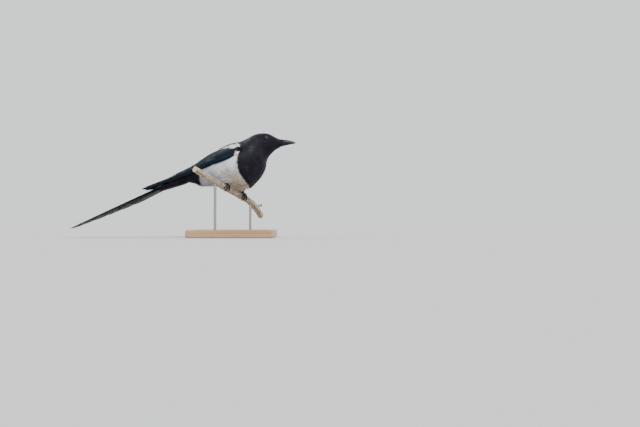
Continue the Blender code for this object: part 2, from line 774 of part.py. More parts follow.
def toe(start, length, claw, base, side_start, side_end, foot):
    """Centres and radii of one toe and its claw, wound round the branch."""
    centres = []
    radii = []
    joints = 6
    turn = math.radians(start)
    for k in range(joints + 1):
        u = k / joints
        radius = base * (1.0 - 0.22 * u) * (1.0 + 0.10 * math.cos(6 * math.pi * u))
        out = PERCH_RADIUS + TOE_CLEARANCE + radius
        across = side_start + (side_end - side_start) * smooth(u)
        angle = turn + length * u / out
        centres.append(ring_spot(foot + across, angle, out))
        radii.append(radius)
    last_angle = angle
    for k in range(1, 4):
        u = k / 3
        radius = base * 0.66 * (1.0 - u) ** 0.8 + 0.22
        out = PERCH_RADIUS + TOE_CLEARANCE + radius + 1.0 * math.sin(math.pi * u)
        angle = last_angle + claw * u / (PERCH_RADIUS + 1.5)
        centres.append(ring_spot(foot + side_end, angle, out))
        radii.append(radius)
    return centres, radii


def ring_spot(along, angle, out):
    ray = PERCH_UP * math.cos(angle) + PERCH_FRONT * math.sin(angle)
    return perch_axis(along) + ray * out


def make_foot(word, foot):
    pieces = []
    for _, start, length, claw, base, side_start, side_end in TOES:
        centres, radii = toe(start, length, claw, base, side_start, side_end, foot)
        pieces.append(tube("toe", centres, radii, TOE_SIDES, "leg_scale", PERCH_WAY))
    hub_at = ring_spot(foot, 0.0, PERCH_RADIUS + TOE_CLEARANCE + HUB_RADIUS)
    hub = ball(f"foot_{word}", hub_at, HUB_RADIUS, "leg_scale", 8, 12)
    neck = hub_at + LEG_LEAN.normalized() * (HUB_RADIUS + 0.8)
    pieces.append(tube("stub", [hub_at, neck], [TARSUS_RADIUS + 0.3, TARSUS_RADIUS], 10, "leg_scale"))
    combine(hub, pieces, "UNION")
    round_off(hub)
    return neck


def make_leg(word, side, ankle):
    """Bare shank above the foot and the feathered thigh, cut to meet the belly."""
    way = LEG_LEAN.normalized()
    start = ankle + way * GAP
    ends = [start, start + way * SHANK_LENGTH]
    shank = tube(f"leg_{word}", ends, [TARSUS_RADIUS, TARSUS_RADIUS], 10, "leg_scale")
    steps = [start + way * up + Vector((0, side * drift, 0)) for up, drift, _ in THIGH]
    thigh = tube("thigh", steps, [row[2] for row in THIGH], 14, "plumage_white")
    combine(shank, [thigh], "UNION")
    around = body_length("around", RUMP_END, TORSO_END + 1, 14, "bark", GAP)
    combine(shank, [around], "DIFFERENCE")
    return round_off(shank)


def clear_scene():
    for old in list(bpy.data.objects):
        bpy.data.objects.remove(old)


def main():
    clear_scene()
    make_head()
    make_bill()
    round_off(body_length("neck", BREAST_END, NECK_END, 5, "plumage_black"))
    breast = body_length("breast", TORSO_END, BREAST_END, 5, "plumage_black")
    torso = body_length("torso", RUMP_END, TORSO_END, 14, "plumage_white")
    rump = body_length("rump", 0, RUMP_END, 4, "plumage_black")
    for piece in (breast, torso, rump):
        rooms = [wing_clearance(side, -WING_CORE - GAP, ROOM_HEIGHT) for side in (-1, 1)]
        combine(piece, rooms, "DIFFERENCE")
        round_off(piece)
    make_tail()
    for word, side, foot in (("right", -1, -FOOT_AT), ("left", 1, FOOT_AT)):
        make_wing(word, side)
        make_scapulars(word, side)
        ankle = make_foot(word, foot)
        make_leg(word, side, ankle)
    make_perch()
    make_stand()


main()
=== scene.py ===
"""Looks of the life-size Eurasian magpie on its cut branch and stand.

Sizes are in millimetres, as in the part, and become metres as each mesh is made.  The bird looks
along +X and its right side is at -Y.  Feathers are thin meshes that follow the surface below them.
"""
import math

import bpy
import numpy as np
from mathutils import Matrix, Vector
from mathutils.kdtree import KDTree


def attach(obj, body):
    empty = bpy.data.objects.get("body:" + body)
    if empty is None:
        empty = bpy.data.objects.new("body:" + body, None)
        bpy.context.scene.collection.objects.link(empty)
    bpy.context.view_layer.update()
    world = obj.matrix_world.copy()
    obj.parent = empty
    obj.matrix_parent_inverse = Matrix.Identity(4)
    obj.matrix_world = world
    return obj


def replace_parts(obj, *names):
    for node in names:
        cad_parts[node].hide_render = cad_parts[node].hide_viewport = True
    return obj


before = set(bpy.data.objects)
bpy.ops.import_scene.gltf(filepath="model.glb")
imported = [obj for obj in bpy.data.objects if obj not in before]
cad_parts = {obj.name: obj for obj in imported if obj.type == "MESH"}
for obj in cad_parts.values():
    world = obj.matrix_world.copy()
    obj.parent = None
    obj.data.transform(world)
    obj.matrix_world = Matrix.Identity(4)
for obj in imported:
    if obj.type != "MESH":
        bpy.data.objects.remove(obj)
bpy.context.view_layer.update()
rng = np.random.default_rng(11)
MM = 0.001
TURN = 2 * math.pi
SIDES = (("right", -1), ("left", 1))

# ---- body stations, from the tail root forward: back x, back z, belly x, belly z, half width
BODY_STATIONS = np.array([
    (-81.6, 121.0, -88.8, 101.5, 13.0),
    (-60.0, 134.0, -66.0, 98.0, 22.5),
    (-38.4, 148.0, -42.0, 98.3, 32.0),
    (-16.8, 159.5, -18.0, 100.0, 38.0),
    (3.0, 167.5, 8.0, 97.6, 40.5),
    (12.9, 171.4, 30.0, 92.4, 40.0),
    (21.0, 175.0, 46.2, 104.8, 37.0),
    (28.2, 179.3, 57.0, 122.8, 31.5),
    (33.6, 182.4, 60.2, 139.0, 25.0),
    (42.6, 186.1, 64.2, 146.6, 19.5),
    (54.3, 187.6, 70.1, 153.0, 17.3),
    (65.1, 185.8, 75.9, 158.2, 14.6),
    (75.0, 180.6, 81.6, 161.3, 10.2),
    (81.4, 177.4, 84.8, 163.4, 7.0),
])
NAPE, HEAD, FRONT = 7.0, 9.0, 13.0  # stations where neck and head start and where the head ends
CORE_HIGH = 0.52  # height of the body's centre line, as a share of its depth
LEAST_HALF = 2.0

# ---- markings: the edge of the black bib, height and how far forward it stands
BIB_EDGE_Z = (92.0, 98.5, 105.0, 112.0, 121.0, 131.0, 141.0, 148.0, 154.4, 164.2)
BIB_EDGE_X = (29.5, 24.6, 20.4, 16.2, 12.4, 10.8, 11.4, 14.0, 17.2, 18.5)
EDGE_SOFT = 1.3  # width of the line between black and white feathers
MANTLE_ANGLE = math.radians(58)
ROUND_SCALE = 35.0  # millimetres a radian round the body
MANTLE_X = (-22.0, -4.0, 6.0, 18.0)
MANTLE_HALF = (9.0, 17.0, 22.0, 25.0)  # half width of the black mantle between the white scapulars
VENT_X = -56.0
WING_SHADE = 3.0  # the flank is white up to this height above the wing's edge
SHOULDER_LINE = 151.2  # the shoulder feathers are white below this height

# ---- bill: x, height of the ridge or keel, half width
GAPE_Z = 169.7
GAP = 0.3  # between pieces that meet
UPPER_BILL = np.array([
    (82.2, 177.2, 6.7),
    (91.0, 176.2, 5.3),
    (99.5, 175.2, 4.0),
    (106.0, 173.7, 2.7),
    (110.4, 171.9, 1.4),
    (112.6, 170.4, 0.45),
])
LOWER_BILL = np.array([
    (84.6, 163.6, 6.5),
    (91.0, 165.0, 5.1),
    (99.5, 166.9, 3.8),
    (106.0, 168.2, 2.4),
    (110.9, 169.0, 0.6),
])
NOSTRIL = np.array((87.5, 5.4, 173.4))
NOSTRIL_SIZE = 1.25
BILL_ROUND = 0.8  # below one the bill's sides are fuller
BILL_RIDGE = 0.22
BILL_RINGS, BILL_SIDES, BILL_FLOOR = 60, 33, 5
BILL_BACK = {"upper": 79.0, "lower": 79.5}  # where the halves start inside the head
LIP_RISE, LIP_AT = 0.03, 0.12  # the bill's edges swell a little
FACE_T = 10.5, 12.98  # stations of the face ahead of the eyes
FACE_ANGLE = math.radians(75)
MOUTH_SLOT = 0.55  # no feathers this near the gape, ahead of MOUTH_X
MOUTH_X = 74.5

# ---- eye
EYE_X, EYE_Z = 60.8, 177.6
EYE_RADIUS = 4.8
EYE_PROUD = 1.5
LID_RING = 3.72
LID_THICK = 0.42
LID_EDGE = LID_RING - 0.15  # feathers grow outside this distance
LID_DROOP = 0.50  # how much further the upper lid closes
LID_OVAL = 0.06, 0.03  # wider lengthwise, lower
LID_FOLD, LID_FOLDS = 0.06, 23  # depth and number of its folds
EYE_NEAR = 11.0  # feathers nearer than this are short

# ---- perch and stand
PERCH_CENTRE = np.array((0.0, 0.0, 81.9))
PERCH_TURN = math.radians(58)
PERCH_DROP = math.radians(17.5)
PERCH_RADIUS = 5.6
PERCH_NEAR, PERCH_FAR = 106.0, 90.0  # from the middle to its ends
PERCH_STRAIGHT = 33.0  # straight and even this far from the middle
PERCH_RISE, PERCH_SINK = 0.0004, 0.0046  # bend beyond that, for the distance squared
PERCH_TAPER, PERCH_THICKEN = 0.007, 0.011  # change of its radius for each millimetre beyond that
KNOTS = (-66.0, 60.0)
KNOT_RISE, KNOT_SPREAD = 1.1, 4.5
BARK_RINGS, BARK_SIDES = 400, 96
# count, length, width in radians, and rise of the raised fibres
CRACKS = 34, (8, 26), (0.06, 0.14)
FIBRES = 60, (4, 14), (0.15, 0.5), (-0.10, 0.16)
CRACK_SLANT, CRACK_DEPTH = 0.006, 0.42
FIBRE_LOW, FIBRE_HIGH = -0.25, 0.22
SCAR_WIDTH, SCAR_RISE = 0.45, 0.10
RING_SCARS = (-94.0, -71.0, -42.0, -33.0, -9.0, 12.5, 38.5, 47.0, 61.0, 79.0)
STUB_AT, STUB_RADIUS, STUB_LENGTH = 68.0, 2.3, 14.0
STUB_LEAN = 0.5, 0.75, 0.55  # up, to the front and along the branch
STUB_WIDTHS = (1.5, 1.2, 1.0, 0.95)  # shares of its radius, from root to end
STUB_RINGS, STUB_SIDES = 40, 36
ROD_AT, ROD_RADIUS = 52.0, 2.4
ROD_RINGS = 12.0, 4.0  # its last rings, below the branch's centre line
BASE_HIGH, HOLE_DEPTH = 14.0, 8.0

# ---- legs and feet
FOOT_AT = 25.3  # from the middle of the branch
HUB_RADIUS = 3.0
HUB_TO_THIGH = 0.8
TARSUS_RADIUS, TARSUS_LENGTH = 1.9, 17.0
TOE_CLEARANCE = 0.45
LEG_LEAN = np.array((-15.0, 0.0, 30.0))
# up the thigh: place, how far its centre is out, radius
THIGH = np.array([(1.0, 0.0, 3.9), (4.5, 0.2, 7.8), (10.0, 0.4, 11.8), (28.0, 0.8, 14.5)])
FLANK_WAY = np.array((-2.6, 0.0, 0.3))  # the thigh's upper feathers turn back into the flank
TOE_RINGS, CLAW_RINGS, LEG_RINGS = 46, 22, 60
TOE_TAPER, TOE_PADS = 0.22, 0.10  # shares of its radius
CLAW_BASE, CLAW_END = 0.66, 0.10  # share of the toe's radius, and radius at the point
TOE_SCUTE, LEG_SCUTE = 1.5, 2.3  # length of a horny plate
TOE_PLATE, LEG_PLATE = 0.045, 0.05  # how far its edge stands up, as a share of the radius
LEG_SUNK = 1.2  # the leg starts this far below the middle of its hub
# start in degrees, length, claw, radius, place along the branch at root and tip
TOES = (
    (8.0, 13.5, 5.5, 1.6, 1.8, 6.0),
    (10.0, 17.5, 5.5, 1.7, 0.0, 0.4),
    (8.0, 14.0, 5.5, 1.55, -1.8, -5.8),
    (-8.0, -10.5, -6.5, 1.85, 0.4, 0.8),
)

# ---- wing edges: x, y out, z
WING_UPPER = np.array([
    (7.0, 13.0, 162.6),
    (-16.8, 9.0, 155.0),
    (-38.4, 6.0, 144.6),
    (-70.4, 4.2, 125.4),
    (-112.0, 4.0, 106.6),
    (-146.0, 4.8, 93.0),
    (-163.0, 6.0, 86.6),
])
WING_LOWER = np.array([
    (15.0, 32.0, 155.0),
    (2.0, 38.2, 144.5),
    (-26.0, 36.0, 133.4),
    (-55.0, 29.0, 121.8),
    (-93.0, 21.5, 108.0),
    (-128.0, 17.0, 96.0),
    (-160.0, 14.0, 82.6),
])

# ---- tail: its line, its feathers from the middle out, and the coverts round its root
TAIL_ROOT = np.array((-80.0, 0.0, 112.0))
TAIL_SLOPE = math.radians(24.3)
TAIL_WAY = np.array((-math.cos(TAIL_SLOPE), 0.0, -math.sin(TAIL_SLOPE)))
TAIL_UP = np.array((-math.sin(TAIL_SLOPE), 0.0, math.cos(TAIL_SLOPE)))
TAIL_ROOF, TAIL_SAG = 0.006, 0.00004
TAIL_LENGTHS = (234.0, 218.0, 196.0, 171.0, 145.0, 119.0)
TAIL_WIDTHS = (24.5, 20.0, 18.5, 17.5, 16.5, 15.5)
TAIL_TOP_LEVEL, TAIL_LAYER = 2.8, 1.0
TAIL_RIGHT = 0.35  # how much of a layer a right feather lies below the left one
TAIL_SPREAD = (1.2, 1.1)  # how far from the middle the first feather starts, and each next
TAIL_TURN = (0.35, 0.85)  # degrees the first one turns out, and each next
TAIL_START = 14.0
# distance along, half width, height above, depth below
COVERT_CORE = np.array([
    (0.0, 13.0, 9.0, 10.0),
    (20.0, 13.5, 8.0, 9.0),
    (34.0, 13.0, 5.5, 7.0),
    (48.0, 11.0, 3.2, 5.0),
    (60.0, 7.5, 1.4, 3.2),
])

# ---- small feathers of the body, by station
SKIN_DEPTH, FACE_DEPTH = 1.5, 0.5
UNDER_WING_GAP = 1.2  # between the skin and the feathers of a folded wing
WING_REACH = 22.0  # what is further from a wing is not under it
FEATHER_T = (0, 1, 3, 5, 6, 7, 8, 9, 10, 11, 12, 13)
FEATHER_LENGTH = (13, 14, 15.5, 14, 12.5, 11, 8.6, 6.4, 4.6, 3.6, 2.9, 2.4)
FEATHER_WIDTH = (5.2, 5.4, 5.8, 5.2, 4.6, 4.0, 3.1, 2.3, 1.7, 1.4, 1.2, 1.0)
FEATHER_LIFT = (0.9, 0.9, 1.0, 0.9, 0.8, 0.7, 0.6, 0.5, 0.4, 0.35, 0.3, 0.25)
OVERLAP, HEAD_OVERLAP = 0.066, 0.072  # share of a feather's length times width that is its own
HANG = 6.5  # how far the loosest belly feathers hang
BRANCH_HANG = 2.6  # further down between the legs, to the branch
BRANCH_X, BRANCH_REACH = 2.0, 9.0  # where that is, and how far each way
MANTLE_RISE = 3.4  # how far the mantle stands up between the shoulders
MANTLE_AT, MANTLE_LONG, MANTLE_WIDE = -2.0, 16.0, 0.45  # its middle, reach and reach in radians
# steps along and across a surface that measure its slope
BODY_STEPS, WING_STEPS = (0.02, 0.01), (0.004, 0.01)
TAIL_STEPS, BILL_STEPS = (0.5, 0.3), (0.2, 0.02)
COVERT_STEPS, THIGH_STEPS = (0.5, 0.02), (0.3, 0.02)
BAKE_SIZE = 0.003  # length of a feather's own place on the bake map
BODY_ROOTS, COAT_ROOTS = 400000, 60000  # most places that are tried for feathers
ROOT_STEPS = 0.7548776662466927, 0.5698402909980532  # they spread the places evenly over a square
SWIRL = 0.10
PARTING = 3.5  # how far from the eye the feathers still part
SHORTEST, LONGER = 1.3, 0.30  # feather length at the eye, and its growth away from it
BELLY_LONGER = 0.45
STRAY = 0.6  # how far feathers stray over the line between black and white

# ---- bristles on the bill: x from and to, length, rise
BRISTLES = ((76.5, 80.5, 13.5, 0.45), (78.5, 84.0, 9.5, 0.25))
BRISTLE_COUNT, BRISTLE_WIDTH = 900, 0.62
BRISTLE_ROUND = 0.30, 1.35  # angles round each side of the bill
CHIN_X = 81.5, 85.0
CHIN_COUNT, CHIN_WIDTH = 620, 0.6
FACE_END = 85.0  # the face has run out into the bill here

# ---- camera: just above the floor, with the photo's scale and its place of the bill tip
PHOTO_WIDTH, PHOTO_HEIGHT = 640, 427
PHOTO_SCALE = 1.8  # millimetres a pixel at the bird
BILL_TIP_PIXEL = (295.9, 142.8)
CAMERA_AWAY, CAMERA_HIGH = 1180.0, 24.0
SENSOR = 36.0

# ---- light and floor; a lamp has a direction, a power, a spread in degrees and a colour
LAMPS = {
    "key": ((0.50, -0.80, 1.15), 3.2, 18.0, (1.0, 0.97, 0.93)),
    "rim": ((-0.55, 0.75, 1.2), 1.0, 25.0, (0.94, 0.97, 1.0)),
}
SKY_COLOUR, SKY_POWER = (0.96, 0.98, 1.0, 1.0), 1.2
FLOOR_HALF = 30.0  # metres


# ---------------- curves and surfaces
def unit(v):
    return v / np.maximum(np.linalg.norm(v, axis=-1, keepdims=True), 1e-9)


def blend(a, b, share):
    return a + (b - a) * share


def smooth(t):
    t = np.clip(t, 0.0, 1.0)
    return t * t * (3 - 2 * t)


def bell(x, width, power=2):
    return np.exp(-((x / width) ** power))


def centred(angle):
    """The same angle between half a turn back and half a turn on."""
    return (angle + math.pi) % TURN - math.pi


def circle(count):
    return np.linspace(0, TURN, count, endpoint=False)


def ray(angle, start, quarter):
    """Directions at angles that turn from a start direction to the one a quarter turn on."""
    return start * np.cos(angle)[..., None] + quarter * np.sin(angle)[..., None]


def cross_axes(way, guide):
    """Two directions across a way, the first also across the guide."""
    first = unit(np.cross(way, guide))
    return first, np.cross(first, way)


def column(table, x, k):
    return np.interp(x, table[:, 0], table[:, k])


def lattice(a, b):
    return np.meshgrid(a, b, indexing="ij")


def spline(rows, place):
    """Smooth curve through rows of numbers, straight beyond its ends."""
    last = len(rows) - 1
    place = np.asarray(place, float)
    held = np.clip(place, 0, last)
    low = np.minimum(held.astype(int), last - 1)
    t = (held - low)[..., None]
    a, b, c, d = (rows[np.clip(low + k, 0, last)] for k in (-1, 0, 1, 2))
    curve = b + 0.5 * t * (c - a + t * (2 * a - 5 * b + 4 * c - d + t * (3 * (b - c) + d - a)))
    before = np.minimum(place, 0)[..., None] * (rows[1] - rows[0])
    after = np.maximum(place - last, 0)[..., None] * (rows[-1] - rows[-2])
    return curve + before + after


def body(t, angle, grow):
    """Body surface: angle 0 is the back, 90 degrees the right side, 180 the belly."""
    row = spline(BODY_STATIONS, t)
    zero = np.zeros_like(row[..., 0])
    back = np.stack([row[..., 0], zero, row[..., 1]], -1)
    belly = np.stack([row[..., 2], zero, row[..., 3]], -1)
    up = unit(back - belly)
    centre = belly + CORE_HIGH * (back - belly)
    above = np.linalg.norm(back - centre, axis=-1)
    below = np.linalg.norm(centre - belly, axis=-1)
    reach = np.where(np.cos(angle) > 0, above, below) + grow
    point = centre + up * (reach * np.cos(angle))[..., None]
    point[..., 1] -= (np.maximum(row[..., 4], LEAST_HALF) + grow) * np.sin(angle)
    return point


def make_wing_surface(side):
    def spot(s, v):
        upper = spline(WING_UPPER, s * (len(WING_UPPER) - 1))
        lower = spline(WING_LOWER, s * (len(WING_LOWER) - 1))
        turn = v * math.pi / 2
        x = blend(upper[..., 0], lower[..., 0], v)
        y = blend(upper[..., 1], lower[..., 1], np.sin(turn))
        z = blend(lower[..., 2], upper[..., 2], np.cos(turn))
        return np.stack([x, side * y, z], -1)

    def surface(along, across, height):
        step = 0.01
        out = unit(np.cross(spot(along + step, across) - spot(along - step, across),
                            spot(along, across + step) - spot(along, across - step)))
        wrong = (out[..., 1] * side < 0) | ((np.abs(out[..., 1]) < 0.2) & (out[..., 2] < 0))
        out = np.where(wrong[..., None], -out, out)
        return spot(along, across) + out * height[..., None]
    return surface


def tail(along, across, height):
    """Tail surface: along and across in millimetres, roofed towards the sides."""
    drop = height - TAIL_ROOF * across * across - TAIL_SAG * along * along
    flat = TAIL_ROOT + TAIL_WAY * along[..., None] + TAIL_UP * drop[..., None]
    flat[..., 1] += across
    return flat


def tail_cover(along, angle, grow):
    """Surface of the coverts round the tail root; angle 0 is the top, 90 degrees the right."""
    half, above, below = (column(COVERT_CORE, along, k) for k in (1, 2, 3))
    reach = np.where(np.cos(angle) > 0, above, below) + grow
    return tail(along, -(half + grow) * np.sin(angle), reach * np.cos(angle))


UP = np.array((0.0, 0.0, 1.0))
PERCH_LEVEL = np.array((math.cos(PERCH_TURN), math.sin(PERCH_TURN), 0.0))
PERCH_FRONT = np.cross(PERCH_LEVEL, UP)
PERCH_WAY = PERCH_LEVEL * math.cos(PERCH_DROP) - UP * math.sin(PERCH_DROP)
PERCH_UP = PERCH_LEVEL * math.sin(PERCH_DROP) + UP * math.cos(PERCH_DROP)


def perch_axis(along):
    along = np.asarray(along, float)
    past = np.maximum(np.abs(along) - PERCH_STRAIGHT, 0.0)
    bend = (np.where(along < 0, PERCH_RISE, -PERCH_SINK) * past * past)[..., None]
    return PERCH_CENTRE + PERCH_WAY * along[..., None] + PERCH_UP * bend


def perch_radius(along):
    past = np.maximum(np.abs(along) - PERCH_STRAIGHT, 0.0)
    radius = PERCH_RADIUS + np.where(along < 0, -PERCH_TAPER, PERCH_THICKEN) * past
    return radius + sum(KNOT_RISE * bell(along - knot, KNOT_SPREAD) for knot in KNOTS)


def ring_spot(along, angle, out):
    """A spot round the branch, at an angle from its top and a distance out of its axis."""
    return perch_axis(along) + ray(angle, PERCH_UP, PERCH_FRONT) * np.asarray(out)[..., None]


def leg_start(foot):
    """The hub of a foot's toes and the place where its thigh begins."""
    hub = ring_spot(foot, np.array(0.0), PERCH_RADIUS + TOE_CLEARANCE + HUB_RADIUS)
    return hub, hub + unit(LEG_LEAN) * (HUB_RADIUS + HUB_TO_THIGH + GAP)


def make_thigh_surface(side):
    _, start = leg_start(side * FOOT_AT)
    way = unit(LEG_LEAN)
    across, other = cross_axes(way, (0.0, 1.0, 0.0))

    def surface(up, angle, grow):
        centre = start + way * up[..., None]
        centre[..., 1] += side * column(THIGH, up, 1)
        return centre + ray(angle, across, -other) * (column(THIGH, up, 2) + grow)[..., None]
    return surface


WINGS = {side: make_wing_surface(side) for _, side in SIDES}
THIGHS = {side: make_thigh_surface(side) for _, side in SIDES}


# ---------------- meshes
def link(name, data):
    """A new object of the scene."""
    made = bpy.data.objects.new(name, data)
    bpy.context.scene.collection.objects.link(made)
    return made


def piece(name, points, faces, finish, slot, numbers=None, uv=None, crease=None):
    """A mesh object from points in millimetres, with named numbers and a bake map on its points."""
    mesh = bpy.data.meshes.new(name)
    mesh.from_pydata((points * MM).tolist(), [], [tuple(f) for f in faces])
    for word, values in (numbers or {}).items():
        layer = mesh.attributes.new(word, "FLOAT", "POINT")
        layer.data.foreach_set("value", np.ascontiguousarray(values, np.float32))
    if uv is not None:
        corner = np.empty(len(mesh.loops), np.int32)
        mesh.loops.foreach_get("vertex_index", corner)
        layer = mesh.uv_layers.new(name="OFBake")
        layer.data.foreach_set("uv", np.ascontiguousarray(uv[corner], np.float32).ravel())
    mesh.materials.append(finish)
    mesh.shade_smooth()
    if crease:
        mesh.set_sharp_from_angle(angle=math.radians(crease))
    made = link(name, mesh)
    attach(made, "root")
    return made


def quads(rows, cols, closed=False):
    """Faces of a grid of rows by cols points; closed joins the last column to the first."""
    r, c = lattice(np.arange(rows - 1), np.arange(cols if closed else cols - 1))
    n = (c + 1) % cols
    low, high = r * cols, (r + 1) * cols
    return np.stack([low + c, low + n, high + n, high + c], -1).reshape(-1, 4)


def strip_faces(count, rows):
    """Quads of count separate strips, each with two points a row."""
    return (np.arange(count)[:, None, None] * rows * 2 + quads(rows, 2)).reshape(-1, 4)


def closed_sheet(top, low, rows, cols):
    """A thin closed sheet from its upper and lower grids."""
    count = rows * cols
    grid = quads(rows, cols)
    index = np.arange(count).reshape(rows, cols)
    rim = np.concatenate([index[0], index[1:, -1], index[-1, -2::-1], index[-2:0:-1, 0]])
    after = np.roll(rim, -1)
    side = np.stack([after, rim, count + rim, count + after], -1)
    return np.concatenate([top, low]), np.concatenate([grid, count + grid[:, ::-1], side])


def closed_tube(rings):
    """Points and faces through rings of equal count, with a fan at each end."""
    rings = np.asarray(rings)
    rows, count = rings.shape[:2]
    hub = rows * count
    points = np.concatenate([rings.reshape(-1, 3), rings[0].mean(0)[None], rings[-1].mean(0)[None]])
    faces = quads(rows, count, True).tolist()
    for k in range(count):
        after = (k + 1) % count
        faces += [(after, k, hub), (hub - count + k, hub - count + after, hub + 1)]
    return points, faces


def tube_of(surface, low, high, rows, sides, depth):
    """A closed tube that lies under a stretch of a surface."""
    a, turn = lattice(np.linspace(low, high, rows), circle(sides))
    return closed_tube(surface(a, turn, np.full(a.shape, depth)))


def sweep(centres, radii, sides, guide=PERCH_WAY):
    """A closed tube of round rings along a line of centres; guide turns the rings."""
    way = unit(np.gradient(centres, axis=0))
    side, up = cross_axes(way, guide)
    out = ray(circle(sides), side[:, None], up[:, None])
    return closed_tube(centres[:, None] + out * radii[:, None, None])


def join(parts):
    """One set of points and faces from several, and one of the numbers and maps that they carry."""
    points, faces, *rest = zip(*parts)
    starts = np.cumsum([0] + [len(p) for p in points]).tolist()
    faces = [tuple(int(i) + start for i in f) for start, some in zip(starts, faces) for f in some]
    carried = [{word: np.concatenate([one[word] for one in row]) for word in row[0]}
               if isinstance(row[0], dict) else np.concatenate(row) for row in rest]
    return np.concatenate(points), faces, *carried


def frames(surface, a, b, steps, lift=None):
    """Point, outward normal, and the two lengthwise derivatives of a surface."""
    lift = np.zeros(len(a)) if lift is None else lift
    step_a, step_b = steps
    here = surface(a, b, lift)
    e1 = (surface(a + step_a, b, lift) - surface(a - step_a, b, lift)) / (2 * step_a)
    e2 = (surface(a, b + step_b, lift) - surface(a, b - step_b, lift)) / (2 * step_b)
    out = unit(np.cross(e1, e2))
    raised = surface(a, b, lift + 0.5) - here
    out = np.where((np.sum(out * raised, -1) < 0)[..., None], -out, out)
    return here, out, e1, e2


def rates(e1, e2, way):
    """How fast the two surface numbers change along a unit direction in the tangent plane."""
    g11, g12, g22, d1, d2 = (np.sum(p * q, -1) for p, q in (
        (e1, e1), (e1, e2), (e2, e2), (way, e1), (way, e2)))
    det = np.maximum(g11 * g22 - g12 * g12, 1e-12)
    return (d1 * g22 - d2 * g12) / det, (d2 * g11 - d1 * g12) / det


TUFT_SHAPES = {  # how wide a strip is along its rows
    4: np.array((0.6, 1.0, 0.85, 0.08)),
    5: np.array((0.55, 0.95, 1.0, 0.7, 0.06)),
    7: np.array((0.5, 0.85, 1.0, 0.95, 0.8, 0.5, 0.05)),
}


def tufts(surface, a, b, steps, way, length, width, lift, strips, rows, fray, patch):
    """Feathers as fans of narrow, pointed strips that lie on a surface.

    a, b place each root; way is its direction; lift is (at the root, at the tip).
    Returns points, faces, the numbers tip and seed, bake map and surface angle of each point.
    """
    def wide(v):
        return v[:, None, None, None]

    def each(v):
        return np.broadcast_to(v, across.shape).ravel()
    count = len(a)
    _, out, e1, e2 = frames(surface, a, b, steps, lift[0])
    way = unit(way - out * np.sum(way * out, -1, keepdims=True))
    fa, fb = rates(e1, e2, way)
    sa, sb = rates(e1, e2, np.cross(out, way))
    k = np.linspace(-1, 1, strips)[None, :]
    offset = k + rng.normal(0, 0.12, (count, strips))
    reach = length[:, None] * (1.0 - fray * np.abs(k) ** 1.6)
    reach = reach * rng.uniform(0.86, 1.08, (count, strips))
    u = np.linspace(0, 1, rows)
    spread = 0.18 + 0.82 * smooth(u * 1.5)
    mid = offset[..., None] * width[:, None, None] * 0.5 * spread
    edge = width[:, None, None] * (0.72 / strips) * TUFT_SHAPES[rows]
    across = np.stack([mid - edge, mid + edge], -1)
    along = np.broadcast_to((reach[..., None] * u)[..., None], across.shape)
    uneven = rng.normal(0, 0.10, (count, strips))[..., None, None] * u[:, None]
    rise = wide(lift[0]) + wide(lift[1] - lift[0]) * smooth(u * 1.15)[:, None]
    rise = rise - 0.10 * np.abs(k)[..., None, None] + uneven
    pa = wide(a) + wide(fa) * along + wide(sa) * across
    pb = wide(b) + wide(fb) * along + wide(sb) * across
    points = surface(pa.ravel(), pb.ravel(), each(rise))
    numbers = {"seed": each(wide(rng.random(count))), "tip": each(u[:, None])}
    uv = np.stack([wide(patch[:, 0]) + BAKE_SIZE * across / np.maximum(wide(width), 0.1),
                   wide(patch[:, 1]) + BAKE_SIZE * along / np.maximum(wide(length), 0.1)], -1)
    return points, strip_faces(count * strips, rows), numbers, uv.reshape(-1, 2), pb.ravel()


